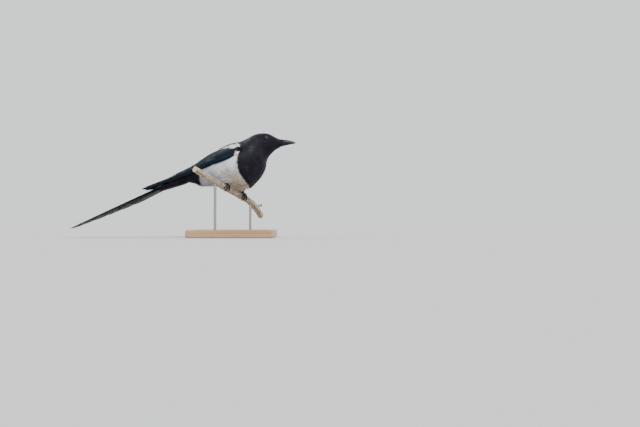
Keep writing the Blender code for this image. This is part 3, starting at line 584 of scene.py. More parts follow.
# ---------------- materials
class Finish:
    """A Principled material and short ways to add the nodes that drive it."""

    def __init__(self, name, colour, rough, shine=0.5, **sockets):
        self.made = bpy.data.materials.new(name)
        self.made.use_nodes = True
        self.tree = self.made.node_tree
        self.shader = self.tree.nodes["Principled BSDF"]
        self.shader.inputs["Base Color"].default_value = (*colour, 1.0)
        self.shader.inputs["Roughness"].default_value = rough
        self.shader.inputs["Specular IOR Level"].default_value = shine
        for word, value in sockets.items():
            self.shader.inputs[word.replace("_", " ")].default_value = value

    def node(self, kind, settings=None, **links):
        """A node; links name its inputs, or i0, i1 and so on count them."""
        made = self.tree.nodes.new("ShaderNode" + kind)
        for word, value in (settings or {}).items():
            setattr(made, word, value)
        for word, value in links.items():
            by_count = word[0] == "i" and word[1:].isdigit()
            self.feed(made.inputs[int(word[1:]) if by_count else word.replace("_", " ")], value)
        return made

    def feed(self, socket, value):
        if isinstance(value, bpy.types.NodeSocket):
            self.tree.links.new(value, socket)
        else:
            socket.default_value = value

    def number(self, word):
        return self.node("Attribute", {"attribute_name": word}).outputs["Fac"]

    def place(self, scale=(1, 1, 1)):
        spot = self.node("TexCoord").outputs["Object"]
        return self.node("Mapping", Vector=spot, Scale=scale).outputs["Vector"]

    def noise(self, scale, detail=3.0, rough=0.5, where=None):
        return self.node("TexNoise", Vector=where or self.place(), Scale=scale, Detail=detail,
                         Roughness=rough).outputs["Fac"]

    def math(self, operation, a, b=0.0):
        return self.node("Math", {"operation": operation}, i0=a, i1=b).outputs[0]

    def times(self, a, b):
        return self.math("MULTIPLY", a, b)

    def plus(self, a, b, share=None):
        """The first value and a share of the second."""
        return self.math("ADD", a, b if share is None else self.times(b, share))

    def span(self, value, low, high, to_low=0.0, to_high=1.0):
        return self.node("MapRange", i0=value, i1=low, i2=high, i3=to_low, i4=to_high).outputs[0]

    def ramp(self, value, *stops):
        made = self.node("ValToRGB", Fac=value)
        band = made.color_ramp
        while len(band.elements) < len(stops):
            band.elements.new(0.5)
        for element, (at, colour) in zip(band.elements, stops):
            element.position = at
            element.color = (*colour, 1.0)
        return made.outputs["Color"]

    def mix(self, share, a, b):
        made = self.node("Mix", {"data_type": "RGBA"})
        self.feed(made.inputs[0], share)
        for socket, value in ((made.inputs[6], a), (made.inputs[7], b)):
            self.feed(socket, value if isinstance(value, bpy.types.NodeSocket) else (*value, 1.0))
        return made.outputs[2]

    def tint(self, base, colour, value, *span):
        """The base with a share of colour; span is two values and the share at each."""
        return self.mix(self.span(value, *span), base, colour)

    def colour(self, value):
        self.feed(self.shader.inputs["Base Color"], value)

    def rough(self, value):
        self.feed(self.shader.inputs["Roughness"], value)

    def bump(self, height, strength, distance):
        """The last step of most finishes: its relief.  Returns the material."""
        made = self.node("Bump", Height=height, Strength=strength, Distance=distance)
        self.feed(self.shader.inputs["Normal"], made.outputs["Normal"])
        return self.made


SEAM_BLACK = (0.01, 0.0085, 0.0125)  # black feathers in a piece that is mostly white


def black_plumage():
    """Soft gloss black, drifting from blue to a brownish violet."""
    m = Finish("plumage_black", (0.02, 0.02, 0.026), 0.5, 0.18,
               Specular_Tint=(0.74, 0.76, 1.0, 1.0), Sheen_Weight=0.02, Sheen_Roughness=0.4,
               Sheen_Tint=(0.66, 0.6, 0.92, 1.0))
    tone = m.plus(m.noise(52.0), m.number("seed"), 0.3)
    base = m.ramp(tone, (0.42, (0.0022, 0.003, 0.008)), (0.58, (0.006, 0.0055, 0.0095)),
                  (0.73, (0.012, 0.0088, 0.0125)), (0.88, (0.023, 0.0175, 0.0225)))
    m.colour(m.tint(base, (0.003, 0.003, 0.005), m.number("tip"), 0.2, 0.9, 0.55, 0.0))
    m.rough(m.span(m.noise(160.0), 0.3, 0.7, 0.43, 0.6))
    return m.bump(m.noise(1500.0, 2.0), 0.2, 0.0004)


def white_plumage():
    """Soft white, blue-grey at the roots, a warm buff on the lower belly that is partly painted
    shade, and painted blue-grey shade on the rear underside.
    """
    m = Finish("plumage_white", (0.78, 0.77, 0.74), 0.82, 0.1)
    drift = m.plus(m.noise(60.0), m.number("seed"), 0.18)
    base = m.ramp(drift, (0.38, (0.52, 0.55, 0.62)), (0.6, (0.78, 0.79, 0.79)),
                  (0.8, (0.86, 0.85, 0.81)))
    # warm buff on the lower belly, partly painted shade, then painted blue-grey shade on the rear
    # underside
    base = m.tint(base, (0.56, 0.46, 0.31), m.number("buff"), 0.0, 1.0, 0.0, 0.72)
    base = m.tint(base, (0.34, 0.38, 0.47), m.number("buff"), -1.0, 0.0, 0.62, 0.0)
    base = m.tint(base, (0.46, 0.48, 0.52), m.number("tip"), 0.0, 0.7, 0.45, 0.0)
    m.colour(m.mix(m.number("pale"), SEAM_BLACK, base))
    m.rough(m.span(m.number("pale"), 0.0, 1.0, 0.46, 0.82))
    return m.bump(m.noise(1300.0, 2.0), 0.25, 0.0004)


def skin_plumage():
    """Down under the feathers, with the same markings."""
    m = Finish("skin_down", (0.02, 0.02, 0.025), 0.8, 0.2)
    dark = m.mix(m.noise(90.0), (0.006, 0.006, 0.009), (0.014, 0.013, 0.018))
    pale = m.mix(m.noise(90.0), (0.42, 0.43, 0.46), (0.62, 0.61, 0.58))
    m.colour(m.mix(m.number("white"), dark, pale))
    return m.bump(m.noise(900.0), 0.5, 0.0006)


def barbs(m, across):
    """Relief of the barbs that slant off a shaft."""
    line = m.plus(m.number("reach"), across, -6.0)
    wave = m.math("SINE", m.times(line, 14.0))
    return m.plus(m.times(wave, 0.35), m.noise(700.0))


def scapular_vanes():
    """The long white shoulder feathers: silky, greyer at their edges, black near the mantle, with
    painted shade towards their roots.
    """
    m = Finish("plumage_scapular", (0.8, 0.8, 0.79), 0.7, 0.1)
    across = m.math("ABSOLUTE", m.number("across"))
    drift = m.plus(m.noise(45.0), m.number("seed"), 0.25)
    base = m.ramp(drift, (0.4, (0.52, 0.55, 0.61)), (0.62, (0.76, 0.77, 0.78)),
                  (0.85, (0.86, 0.85, 0.82)))
    base = m.tint(base, (0.4, 0.43, 0.5), across, 0.7, 1.0, 0.0, 0.55)
    base = m.tint(base, (0.5, 0.47, 0.42), across, 0.03, 0.09, 0.45, 0.0)
    # painted shade: greyer towards each feather's root, where the feathers above lie over it
    base = m.tint(base, (0.42, 0.45, 0.51), m.number("along"), 0.0, 0.6, 0.5, 0.0)
    m.colour(m.mix(m.number("pale"), SEAM_BLACK, base))
    return m.bump(barbs(m, across), 0.7, 0.0003)


def feather_gloss(name, tint, rough, shine, *stops):
    """A flight feather: barbs slanting off a paler shaft, gloss colour changing along it."""
    m = Finish(name, (0.01, 0.02, 0.03), rough, shine, Specular_Tint=(*tint, 1.0))
    along = m.number("along")
    across = m.math("ABSOLUTE", m.number("across"))
    drift = m.plus(along, m.math("SUBTRACT", m.noise(30.0), 0.5), 0.35)
    drift = m.plus(drift, m.math("SUBTRACT", m.number("seed"), 0.5), 0.12)
    base = m.ramp(drift, *stops)
    base = m.tint(base, (0.004, 0.005, 0.006), across, 0.72, 1.0, 0.0, 0.8)
    m.colour(m.tint(base, (0.024, 0.021, 0.02), across, 0.02, 0.07, 0.85, 0.0))
    m.rough(m.span(m.noise(120.0), 0.3, 0.7, rough - 0.06, rough + 0.14))
    return m.bump(barbs(m, across), 0.4, 0.00022)


def horn(name, colour, worn_and_sheen, rough, pitted=False):
    """Horn with streaks along it; pitted adds paler horn towards the tip and away from the gape,
    partly wear and partly painted sheen, and painted shade in the nostrils.
    """
    m = Finish(name, colour, rough, 0.16)
    streak = m.noise(420.0, 3.0, 0.6, m.place((0.18, 1.0, 1.0)))
    base = m.tint(colour, worn_and_sheen, streak, 0.45, 0.75, 0.0, 0.45)
    if pitted:
        # paler towards the tip and away from the gape: partly wear, partly painted sheen
        base = m.mix(m.times(m.number("wear_and_sheen"), 0.75), base, worn_and_sheen)
        # painted shade: the nostril dents are coloured near black
        base = m.mix(m.number("pit"), base, (0.002, 0.002, 0.002))
    m.colour(base)
    m.rough(m.span(streak, 0.3, 0.8, rough - 0.05, rough + 0.16))
    return m.bump(streak, 0.18, 0.0002)


def scaled_skin():
    """Black skin of small horny scales."""
    m = Finish("foot_scales", (0.022, 0.021, 0.021), 0.42, 0.5)
    cells = m.node("TexVoronoi", Vector=m.place(), Scale=1100.0).outputs["Distance"]
    m.colour(m.mix(m.span(cells, 0.1, 0.8), (0.03, 0.028, 0.027), (0.01, 0.01, 0.011)))
    m.rough(m.span(cells, 0.0, 0.8, 0.34, 0.55))
    return m.bump(m.plus(m.times(cells, -1.0), m.noise(1800.0)), 0.35, 0.0003)


def lid_skin():
    """Bare black skin of the eyelids, finely wrinkled."""
    m = Finish("lid_skin", (0.007, 0.007, 0.008), 0.55, 0.25)
    wrinkle = m.noise(2200.0, 2.0, 0.6)
    m.colour(m.mix(wrinkle, (0.004, 0.004, 0.005), (0.012, 0.011, 0.012)))
    return m.bump(wrinkle, 0.4, 0.0002)


def eyeball():
    """Dark brown iris, black pupil and a wet surface; ring counts degrees from the eye's axis."""
    m = Finish("eye_wet", (0.02, 0.01, 0.006), 0.03, 0.45, IOR=1.376)
    ring = m.number("ring")
    rays = m.plus(ring, m.math("SUBTRACT", m.noise(1600.0), 0.5), 5.0)
    black = (0.001, 0.001, 0.001)
    m.colour(m.ramp(m.math("DIVIDE", rays, 90.0), (0.0, black), (0.235, black),
                    (0.265, (0.012, 0.0052, 0.0026)), (0.42, (0.007, 0.0032, 0.0018)),
                    (0.5, black)))
    return m.made


def bark():
    """Grey-tan bark: pale scuffed ridges, dark cracks along the branch and ring scars across it."""
    m = Finish("bark_grey", (0.42, 0.36, 0.29), 0.86, 0.25)
    length, round_it = m.number("bark_along"), m.number("bark_round")
    flow = m.node("CombineXYZ", X=m.times(length, 0.035), Y=m.times(round_it, 0.42)).outputs[0]
    fibre = m.noise(3.2, 5.0, 0.62, flow)
    patchy = m.noise(38.0, 4.0, 0.6)
    crack = m.number("crack")
    base = m.ramp(fibre, (0.32, (0.05, 0.035, 0.025)), (0.44, (0.24, 0.185, 0.13)),
                  (0.56, (0.49, 0.41, 0.315)), (0.68, (0.74, 0.665, 0.56)))
    base = m.tint(base, (0.245, 0.215, 0.18), patchy, 0.52, 0.7, 0.0, 0.6)
    base = m.tint(base, (0.47, 0.5, 0.42), m.noise(210.0, 2.0), 0.62, 0.72, 0.0, 0.55)
    base = m.mix(m.times(crack, 0.85), base, (0.055, 0.042, 0.033))
    m.colour(m.mix(m.times(m.number("scar"), 0.45), base, (0.12, 0.085, 0.06)))
    return m.bump(m.plus(fibre, m.noise(800.0), 0.4), 0.6, 0.0009)


def end_grain():
    """The sawn end of a branch: growth rings round a dark pith."""
    m = Finish("cut_wood", (0.62, 0.48, 0.32), 0.75, 0.3)
    rings = m.math("SINE", m.times(m.plus(m.number("ring"), m.noise(150.0), 0.8), 6.5))
    base = m.mix(m.span(rings, -0.2, 1.0), (0.66, 0.52, 0.35), (0.44, 0.31, 0.19))
    m.colour(m.tint(base, (0.16, 0.1, 0.06), m.number("ring"), 0.25, 1.1, 1.0, 0.0))
    return m.bump(m.noise(900.0), 0.3, 0.0003)


def oak():
    """Satin oak with the grain along X."""
    m = Finish("stand_oak", (0.45, 0.29, 0.16), 0.42, 0.4, Coat_Weight=0.22, Coat_Roughness=0.32)
    warp = m.noise(7.0, 3.0, 0.5, m.place((0.3, 1.0, 1.0)))
    line = m.node("TexWave", {"wave_type": "BANDS", "bands_direction": "Y"},
                  Vector=m.place((0.1, 1.0, 1.0)), Scale=60.0, Distortion=9.0, Detail=3.0,
                  Detail_Scale=1.3).outputs["Fac"]
    pore = m.noise(900.0, 2.0, 0.6, m.place((0.045, 1.0, 1.0)))
    base = m.ramp(line, (0.0, (0.345, 0.21, 0.112)), (0.55, (0.4, 0.252, 0.138)),
                  (1.0, (0.45, 0.292, 0.165)))
    base = m.tint(base, (0.4, 0.24, 0.12), warp, 0.35, 0.7, 0.0, 0.45)
    m.colour(m.tint(base, (0.17, 0.09, 0.042), pore, 0.6, 0.7, 0.0, 0.75))
    m.rough(m.span(pore, 0.4, 0.75, 0.36, 0.58))
    return m.bump(m.plus(m.times(line, 0.2), pore, -1.0), 0.18, 0.0003)


def steel():
    """Rod brushed round its length."""
    m = Finish("rod_brushed", (0.6, 0.6, 0.61), 0.28, Metallic=1.0)
    rings = m.noise(900.0, 2.0, 0.6, m.place((0.02, 0.02, 3.0)))
    m.colour(m.mix(rings, (0.3, 0.3, 0.31), (0.46, 0.46, 0.47)))
    m.rough(m.span(rings, 0.3, 0.7, 0.2, 0.36))
    return m.bump(rings, 0.1, 0.0001)


BLACK = black_plumage()
WHITE = white_plumage()
DOWN = skin_plumage()
SCAPULAR = scapular_vanes()
WING_GLOSS = feather_gloss(
    "wing_gloss", (0.5, 0.8, 1.0), 0.44, 0.16,
    (0.0, (0.003, 0.005, 0.008)), (0.3, (0.003, 0.01, 0.014)), (0.62, (0.003, 0.008, 0.018)),
    (1.0, (0.004, 0.005, 0.008)))
COVERT_GLOSS = feather_gloss(
    "covert_gloss", (0.58, 0.76, 1.0), 0.46, 0.17,
    (0.0, (0.003, 0.003, 0.005)), (0.45, (0.003, 0.005, 0.009)), (0.8, (0.004, 0.009, 0.016)),
    (1.0, (0.003, 0.006, 0.012)))
TAIL_GLOSS = feather_gloss(
    "tail_gloss", (0.62, 1.0, 0.82), 0.42, 0.22,
    (0.0, (0.004, 0.008, 0.009)), (0.25, (0.004, 0.017, 0.013)), (0.62, (0.009, 0.02, 0.009)),
    (0.8, (0.018, 0.014, 0.007)), (0.89, (0.017, 0.006, 0.018)), (1.0, (0.005, 0.006, 0.018)))
BILL = horn("bill_horn", (0.007, 0.007, 0.008), (0.034, 0.033, 0.034), 0.3, True)
CLAW = horn("claw_horn", (0.012, 0.011, 0.011), (0.06, 0.054, 0.05), 0.26)
SCALES = scaled_skin()
LID_SKIN = lid_skin()
EYE = eyeball()
BARK = bark()
END = end_grain()
OAK = oak()
STEEL = steel()


# ---------------- markings
def behind_bib(point):
    return (np.interp(point[..., 2], BIB_EDGE_Z, BIB_EDGE_X) - point[..., 0]) / EDGE_SOFT


def whiteness(point, angle):
    """One on belly, flanks and shoulders between the bib and the vent, and zero elsewhere."""
    x, z = point[..., 0], point[..., 2]
    top = (np.abs(centred(angle)) - MANTLE_ANGLE) * ROUND_SCALE / EDGE_SOFT
    wing_line = np.interp(x, WING_LOWER[::-1, 0], WING_LOWER[::-1, 2]) + WING_SHADE
    top = np.where(x < 0.0, np.minimum(top, (wing_line - z) / EDGE_SOFT), top)
    rear = (x - VENT_X) / EDGE_SOFT
    return smooth(np.minimum(np.minimum(behind_bib(point), rear), top) + 0.5)


def scapular_white(point):
    """White of the scapular feathers, beside the black mantle."""
    half = np.interp(point[..., 0], MANTLE_X, MANTLE_HALF)
    return smooth((np.abs(point[..., 1]) - half) / EDGE_SOFT + 0.5)


def shoulder_white(point):
    """White of the feathers under the bend of the wing, behind the bib."""
    low = (SHOULDER_LINE - point[..., 2]) / EDGE_SOFT
    return smooth(np.minimum(low, behind_bib(point)) + 0.5)


def buff(point):
    """Belly tint: above zero warm buff low ahead of the legs, partly painted shade; below zero
    painted blue-grey shade at the rear.
    """
    x, z = point[..., 0], point[..., 2]
    warm = smooth((130.0 - z) / 34.0) * smooth((x + 24.0) / 34.0)
    return warm - smooth((140.0 - z) / 20.0) * smooth((-8.0 - x) / 36.0)


# ---------------- places of eyes and wings
def eye_seat(side):
    """Skin point and outward direction of an eye."""
    t, angle = lattice(HEAD + np.arange(160) / 40, np.radians(np.arange(20, 100, 1.0)))
    points = body(t, angle, 0.0)
    miss = (points[..., 0] - EYE_X) ** 2 + (points[..., 2] - EYE_Z) ** 2
    at = np.unravel_index(np.argmin(miss), miss.shape)
    t0, a0 = t[at], angle[at]
    skin = body(t0, a0, 0.0)
    out = unit(np.cross(body(t0 + 0.1, a0, 0.0) - skin, body(t0, a0 + 0.05, 0.0) - skin))
    mirror = np.array((1.0, -side, 1.0))
    return skin * mirror, (-out if out[1] > 0 else out) * mirror


EYES = {side: eye_seat(side) for _, side in SIDES}


def eye_distance(points):
    """Distance to the nearer eye opening, and the direction away from it."""
    away = np.stack([points - seat for seat, _ in EYES.values()])
    far = np.linalg.norm(away, axis=-1)
    near = np.argmin(far, axis=0)
    rows = np.arange(len(points))
    return far[near, rows], unit(away[near, rows])


WING_GRID = 61, 25
WING_TREE = KDTree(2 * WING_GRID[0] * WING_GRID[1])
WING_SPOTS = []
for wing in WINGS.values():
    grid = [axis.ravel() for axis in lattice(*(np.linspace(0, 1, n) for n in WING_GRID))]
    level, above = (wing(*grid, np.full(grid[0].shape, height)) for height in (0.0, 1.0))
    for wing_spot in zip(level, unit(above - level), *grid):
        WING_TREE.insert(Vector(wing_spot[0]), len(WING_SPOTS))
        WING_SPOTS.append(wing_spot)
WING_TREE.balance()


def under_wing(points, edge=(0.02, 0.03, 0.94)):
    """Which points lie under a folded wing, and how far out of its inner face each stands.

    edge is how far in from the wing's front, and from its upper and lower edge, that starts.
    """
    hidden = np.zeros(len(points), bool)
    height = np.zeros(len(points))
    normal = np.zeros((len(points), 3))
    for k, point in enumerate(points):
        spot, out, s, v = WING_SPOTS[WING_TREE.find(Vector(point))[1]]
        height[k] = np.dot(point - spot, out)
        normal[k] = out
        hidden[k] = edge[0] < s < 0.99 and edge[1] < v < edge[2] and abs(height[k]) < WING_REACH
    return hidden, height, normal


# ---------------- skin
def skin_depth(t):
    return np.interp(t, (7.0, 9.5), (SKIN_DEPTH, FACE_DEPTH))


def make_skin():
    t, angle = lattice(np.linspace(0, FRONT, 150), circle(96))
    rings = body(t, angle, -skin_depth(t))
    flat = rings.reshape(-1, 3)
    hidden, height, normal = under_wing(flat, (0.0, 0.0, 1.0))
    flat -= normal * np.where(hidden, np.maximum(height + UNDER_WING_GAP, 0.0), 0.0)[:, None]
    parts = [closed_tube(flat.reshape(rings.shape)), tube_of(tail_cover, -6, 60, 24, 48, -1.2)]
    parts += [tube_of(THIGHS[side], 1.5, 30, 20, 32, -0.8) for _, side in SIDES]
    points, faces = join(parts)
    white = np.zeros(len(points))
    white[:len(flat)] = whiteness(flat, angle.ravel())
    return piece("skin", points, faces, DOWN, "black_plumage", {"white": white})


# ---------------- small feathers
def scatter(surface, spans, steps, density, most):
    """Even, slightly irregular roots over a surface; spans is (a low, a high), (b low, b high)."""
    (a0, a1), (b0, b1) = spans
    n = np.arange(1, most + 1)
    a = blend(a0, a1, n * ROOT_STEPS[0] % 1.0)
    b = blend(b0, b1, n * ROOT_STEPS[1] % 1.0)
    _, _, e1, e2 = frames(surface, a, b, steps)
    wanted = np.linalg.norm(np.cross(e1, e2), axis=-1) * (a1 - a0) * (b1 - b0) * density(a, b)
    peak = wanted.max()
    use = min(most, int(int(np.mean(wanted)) * peak / np.mean(wanted)))
    keep = rng.random(use) < wanted[:use] / peak
    return a[:use][keep], b[:use][keep]


def round_patch(along, angle, low, high, edge=0.05):
    """Bake map of a surface that closes round, from low to high along it."""
    return np.stack([angle / TURN % 1.0 * 0.96 + 0.02,
                     edge + (1 - 2 * edge) * (along - low) / (high - low)], -1)


def wing_patch(s, v):
    """Bake map of a wing."""
    return np.stack([0.04 + 0.92 * s, 0.04 + 0.90 * np.clip(v, 0, 1)], -1)


def by_station(t, values):
    return np.interp(t, FEATHER_T, values)


def coat_of_body():
    """Contour feathers over head, neck, breast, belly and back."""
    def density(t, angle):
        share = np.where(t >= HEAD, HEAD_OVERLAP, OVERLAP)
        return 1.0 / (share * by_station(t, FEATHER_LENGTH) * by_station(t, FEATHER_WIDTH))
    t, angle = scatter(body, ((-0.3, 12.97), (0.0, TURN)), BODY_STEPS, density, BODY_ROOTS)
    here, out, e1, _ = frames(body, t, angle, BODY_STEPS)
    far, away = eye_distance(here)
    slot = (np.abs(here[:, 2] - GAPE_Z) < MOUTH_SLOT) & (here[:, 0] > MOUTH_X)
    keep = ~under_wing(here)[0] & (far > LID_EDGE) & ~slot
    t, angle, here, out, e1, far, away = (v[keep] for v in (t, angle, here, out, e1, far, away))
    x, y, z = here.T

    # they point backwards, part round the eye, and swirl a little
    way = -unit(e1)
    inward = np.minimum(np.sum(way * away, -1), 0.0)
    turn = bell(np.maximum(far - LID_RING, 0), PARTING)
    way = unit(way - away * (inward * turn)[:, None] + away * (0.25 * turn)[:, None])
    swirl = SWIRL * np.sin(x * 0.31 + 2.0 * np.sin(z * 0.13)) * np.sin(z * 0.27 + y * 0.2)
    way = unit(way + np.cross(out, way) * swirl[:, None] + rng.normal(0, 0.08, way.shape))

    # sizes, and how far the tips stand off: loose on the belly, raised on the mantle
    length = by_station(t, FEATHER_LENGTH) * rng.uniform(0.82, 1.18, len(t))
    width = by_station(t, FEATHER_WIDTH) * rng.uniform(0.9, 1.1, len(t))
    short = np.minimum(length, SHORTEST + LONGER * (far - LID_EDGE))
    length = np.where(far < EYE_NEAR, short, length)
    hang = smooth((-np.cos(angle) - 0.35) / 0.45) * smooth(t - 1.2) * smooth((5.9 - t) / 0.8)
    tip_lift = by_station(t, FEATHER_LIFT) * rng.uniform(0.7, 1.35, len(t))
    tip_lift = tip_lift + HANG * hang * rng.random(len(t)) ** 0.7
    length = length * (1 + BELLY_LONGER * hang)
    mantle = (MANTLE_RISE * bell(centred(angle), MANTLE_WIDE)
              * bell(x - MANTLE_AT, MANTLE_LONG, 4))
    on_branch = hang * bell(x - BRANCH_X, BRANCH_REACH)
    root_lift = -skin_depth(t) * 0.9 + 0.4 * mantle
    tip_lift = tip_lift + mantle + BRANCH_HANG * on_branch

    for black_name, white_name, chosen, strips, rows in (
            ("coat_head", "coat_head_white", t >= HEAD, 4, 4),
            ("coat_neck", "coat_neck_white", (t < HEAD) & (t >= NAPE), 7, 5),
            ("coat_body_black", "coat_body_white", t < NAPE, 7, 7)):
        some_t, some_angle, *rest = (v[chosen] for v in (
            t, angle, way, length, width, root_lift, tip_lift))
        points, _, numbers, uv, turns = tufts(
            body, some_t, some_angle, BODY_STEPS, *rest[:3], rest[3:], strips, rows, 0.30,
            round_patch(some_t, some_angle, 0.0, FRONT, 0.02))
        count = len(some_t)
        each = len(points) // count
        stray = np.repeat(rng.normal(0, STRAY, (count, 3)), each, axis=0)
        pale = whiteness(points + stray, turns)
        numbers.update(buff=buff(points), pale=pale)
        bright = pale.reshape(count, -1).max(1) > 0.02
        for name, part, finish, slot in ((black_name, ~bright, BLACK, "black_plumage"),
                                         (white_name, bright, WHITE, "white_plumage")):
            if part.any():
                some = np.repeat(part, each)
                piece(name, points[some], strip_faces(part.sum() * strips, rows), finish, slot,
                      {word: values[some] for word, values in numbers.items()}, uv[some])


def simple_coat(name, surface, spans, steps, size, lift, finish, slot, patch_at, overlap, loose,
                strips=7, fray=0.30, white_at=None, keep_at=None, bend=None):
    """Small feathers of one size over a surface, pointing along it or as bend turns them."""
    length, width = size
    a, b = scatter(surface, spans, steps,
                   lambda p, q: np.full(p.shape, 1 / (overlap * length * width)), COAT_ROOTS)
    if keep_at:
        keep = keep_at(surface, a, b)
        a, b = a[keep], b[keep]
    here, _, e1, _ = frames(surface, a, b, steps)
    way = bend(unit(e1), a) if bend else unit(e1)
    way = unit(way + rng.normal(0, 0.10, way.shape))
    count = len(a)
    points, faces, numbers, uv, _ = tufts(
        surface, a, b, steps, way, length * rng.uniform(0.85, 1.15, count),
        width * rng.uniform(0.9, 1.1, count),
        (np.full(count, lift[0]), lift[1] * rng.uniform(1 - loose, 1 + loose, count)),
        strips, 5, fray, patch_at(a, b))
    numbers["buff"] = np.repeat(buff(here), len(points) // count)
    numbers["pale"] = white_at(points) if white_at else np.ones(len(points))
    piece(name, points, faces, finish, slot, numbers, uv)


# ---------------- flight feathers
VANE_ROWS = 24
VANE_ACROSS = np.array((-1.0, -0.72, -0.42, -0.16, -0.05, 0.05, 0.16, 0.42, 0.72, 1.0))
VANE_THICK, QUILL_HIGH, CAMBER = 0.24, 0.16, 0.05
SPLITS = 0.10  # share of a ragged feather's edge that is split


def vane(surface, steps, root, tip, width, heights, tilt, patch, point, ragged,
         shaft=0.0, base=0.45):
    """One closed, slightly cambered feather over a surface.

    root and tip are places on the surface.  heights is (near the root, at the tip, at the root
    itself).  tilt raises its far edge, point is the length of the tip, shaft shifts the quill to
    one side and base is the width at the root.  Returns points, faces, numbers and bake map.
    """
    u = 1 - (1 - np.linspace(0, 1, VANE_ROWS)) ** 1.5
    a = blend(root[0], tip[0], u)
    b = blend(root[1], tip[1], u)
    clear = blend(heights[0], heights[1], smooth(u / 0.6))
    clear = blend(heights[2], clear, smooth(u / 0.12))
    here, out, e1, e2 = frames(surface, a, b, steps, clear)
    way = unit(np.gradient(here, axis=0))
    way = unit(way - out * np.sum(way * out, -1, keepdims=True))
    side = np.cross(out, way)
    side = np.where((np.sum(side * e2, -1) < 0)[:, None], -side, side)
    sa, sb = rates(e1, e2, side)
    open_up = blend(base, 1, smooth(u / 0.30))
    close = np.sqrt(np.clip(1 - (np.maximum(u - (1 - point), 0) / point) ** 2, 0.0004, 1))
    half = (0.5 * width * open_up * close)[:, None]
    v = VANE_ACROSS[None, :]
    rim = np.abs(v) > 0.9
    fray = rng.normal(0, 0.05, (VANE_ROWS, len(VANE_ACROSS))) * rim * ragged
    split = (rng.random((VANE_ROWS, 1)) < SPLITS * ragged) & (u[:, None] > 0.35)
    q = half * (v + shaft * (1 - v * v)) * (1 + fray - 0.16 * split * rim)
    quill = QUILL_HIGH * bell(v, 0.07) * (1 - 0.6 * u[:, None])
    lift = clear[:, None] + q * math.tan(tilt) - CAMBER * half * v * v + quill
    pa = (a[:, None] + sa[:, None] * q).ravel()
    pb = (b[:, None] + sb[:, None] * q).ravel()
    points, faces = closed_sheet(surface(pa, pb, (lift + VANE_THICK / 2).ravel()),
                                 surface(pa, pb, (lift - quill - VANE_THICK / 2).ravel()), *q.shape)
    along = np.tile(np.repeat(u, len(VANE_ACROSS)), 2)
    across = np.tile(VANE_ACROSS, 2 * VANE_ROWS)
    long = np.sum(np.linalg.norm(np.diff(here, axis=0), axis=-1))
    numbers = {"along": along, "across": across, "reach": along * long,
               "seed": np.full(len(points), rng.random())}
    uv = np.stack([patch[0] + BAKE_SIZE / 2 * across, patch[1] + BAKE_SIZE * along], -1)
    return points, faces, numbers, uv


def feathers(name, vanes, finish, slot, white_at=None):
    """One piece of many vanes."""
    points, faces, numbers, uv = join(vanes)
    if white_at:
        numbers["pale"] = white_at(points)
    return piece(name, points, faces, finish, slot, numbers, uv, crease=50)


# Rows of wing feathers: roots along and across the wing (first, last), tips along it (each) and
# across it (first, last), width, heights (near the root, at the tip), step, tilt in degrees.
FLIGHT_ROWS = (
    # primaries, secondaries, inner secondaries, tertials, primary coverts, greater coverts, alula
    ((0.42, 0.40), (1.00, 0.58), (0.84, 0.89, 0.94, 0.975, 1.0, 0.985, 0.95, 0.91, 0.87),
     (0.95, 0.22), 6.2, (0.3, 0.5), 0.30, 7),
    ((0.15, 0.17), (0.96, 0.44), (0.78, 0.77, 0.755, 0.74, 0.72, 0.70, 0.68, 0.66, 0.64),
     (0.86, 0.27), 8.6, (0.9, 2.0), 0.30, 8),
    ((0.15, 0.15), (0.42, 0.14), (0.90, 0.84, 0.78, 0.70), (0.20, 0.03), 9.4, (0.0, 0.4), 0.25, 3),
    ((0.13, 0.13), (0.38, 0.12), (0.61, 0.57, 0.52, 0.46), (0.33, 0.12), 9.6, (2.4, 4.0), 0.45, 8),
    ((0.22, 0.23), (1.04, 0.86), (0.47, 0.465, 0.455, 0.44, 0.42),
     (1.02, 0.82), 4.8, (1.0, 3.0), 0.22, 9),
    ((0.06, 0.08), (1.02, 0.46),
     (0.29, 0.30, 0.31, 0.315, 0.32, 0.32, 0.32, 0.315, 0.31, 0.305, 0.30),
     (1.03, 0.42), 6.2, (1.2, 3.1), 0.19, 9),
    ((0.15, 0.16), (1.06, 0.96), (0.36, 0.33, 0.30), (1.06, 0.96), 4.8, (1.6, 4.2), 0.25, 9),
)
COVERT_ROWS = (
    # median coverts, then three rows of lesser coverts
    ((0.03, 0.04), (1.02, 0.50), (0.155, 0.16, 0.165, 0.17, 0.17, 0.17, 0.17, 0.165, 0.16, 0.155),
     (1.04, 0.50), 6.2, (1.0, 3.6), 0.13, 10),
    ((0.02, 0.02), (1.00, 0.66), (0.115,) * 3 + (0.12,) * 5,
     (1.01, 0.64), 5.4, (1.0, 3.4), 0.12, 10),
    ((0.015, -0.005), (0.92, 0.68), (0.085,) * 6,
     (0.93, 0.67), 5.2, (1.0, 3.8), 0.11, 10),
    ((-0.005, -0.025), (0.86, 0.72), (0.055, 0.055, 0.055, 0.05),
     (0.87, 0.71), 4.6, (0.8, 4.0), 0.10, 10),
)
SCAPULAR_ROWS = (
    # long, short and front scapulars
    ((0.03, 0.05), (0.70, 0.08), (0.095, 0.115, 0.135, 0.155, 0.175, 0.19, 0.205, 0.215, 0.22),
     (0.54, 0.05), 6.4, (3.0, 5.2), -0.10, 6),
    ((-0.01, 0.0), (0.74, 0.06), (0.06, 0.065, 0.075, 0.085, 0.095, 0.105, 0.115, 0.12, 0.12),
     (0.67, 0.05), 6.2, (2.8, 4.9), -0.10, 6),
    ((-0.045, -0.030), (0.76, 0.05), (0.02, 0.025, 0.03, 0.035, 0.04, 0.045, 0.05, 0.05, 0.05),
     (0.73, 0.05), 5.6, (1.8, 4.8), -0.12, 6),
)


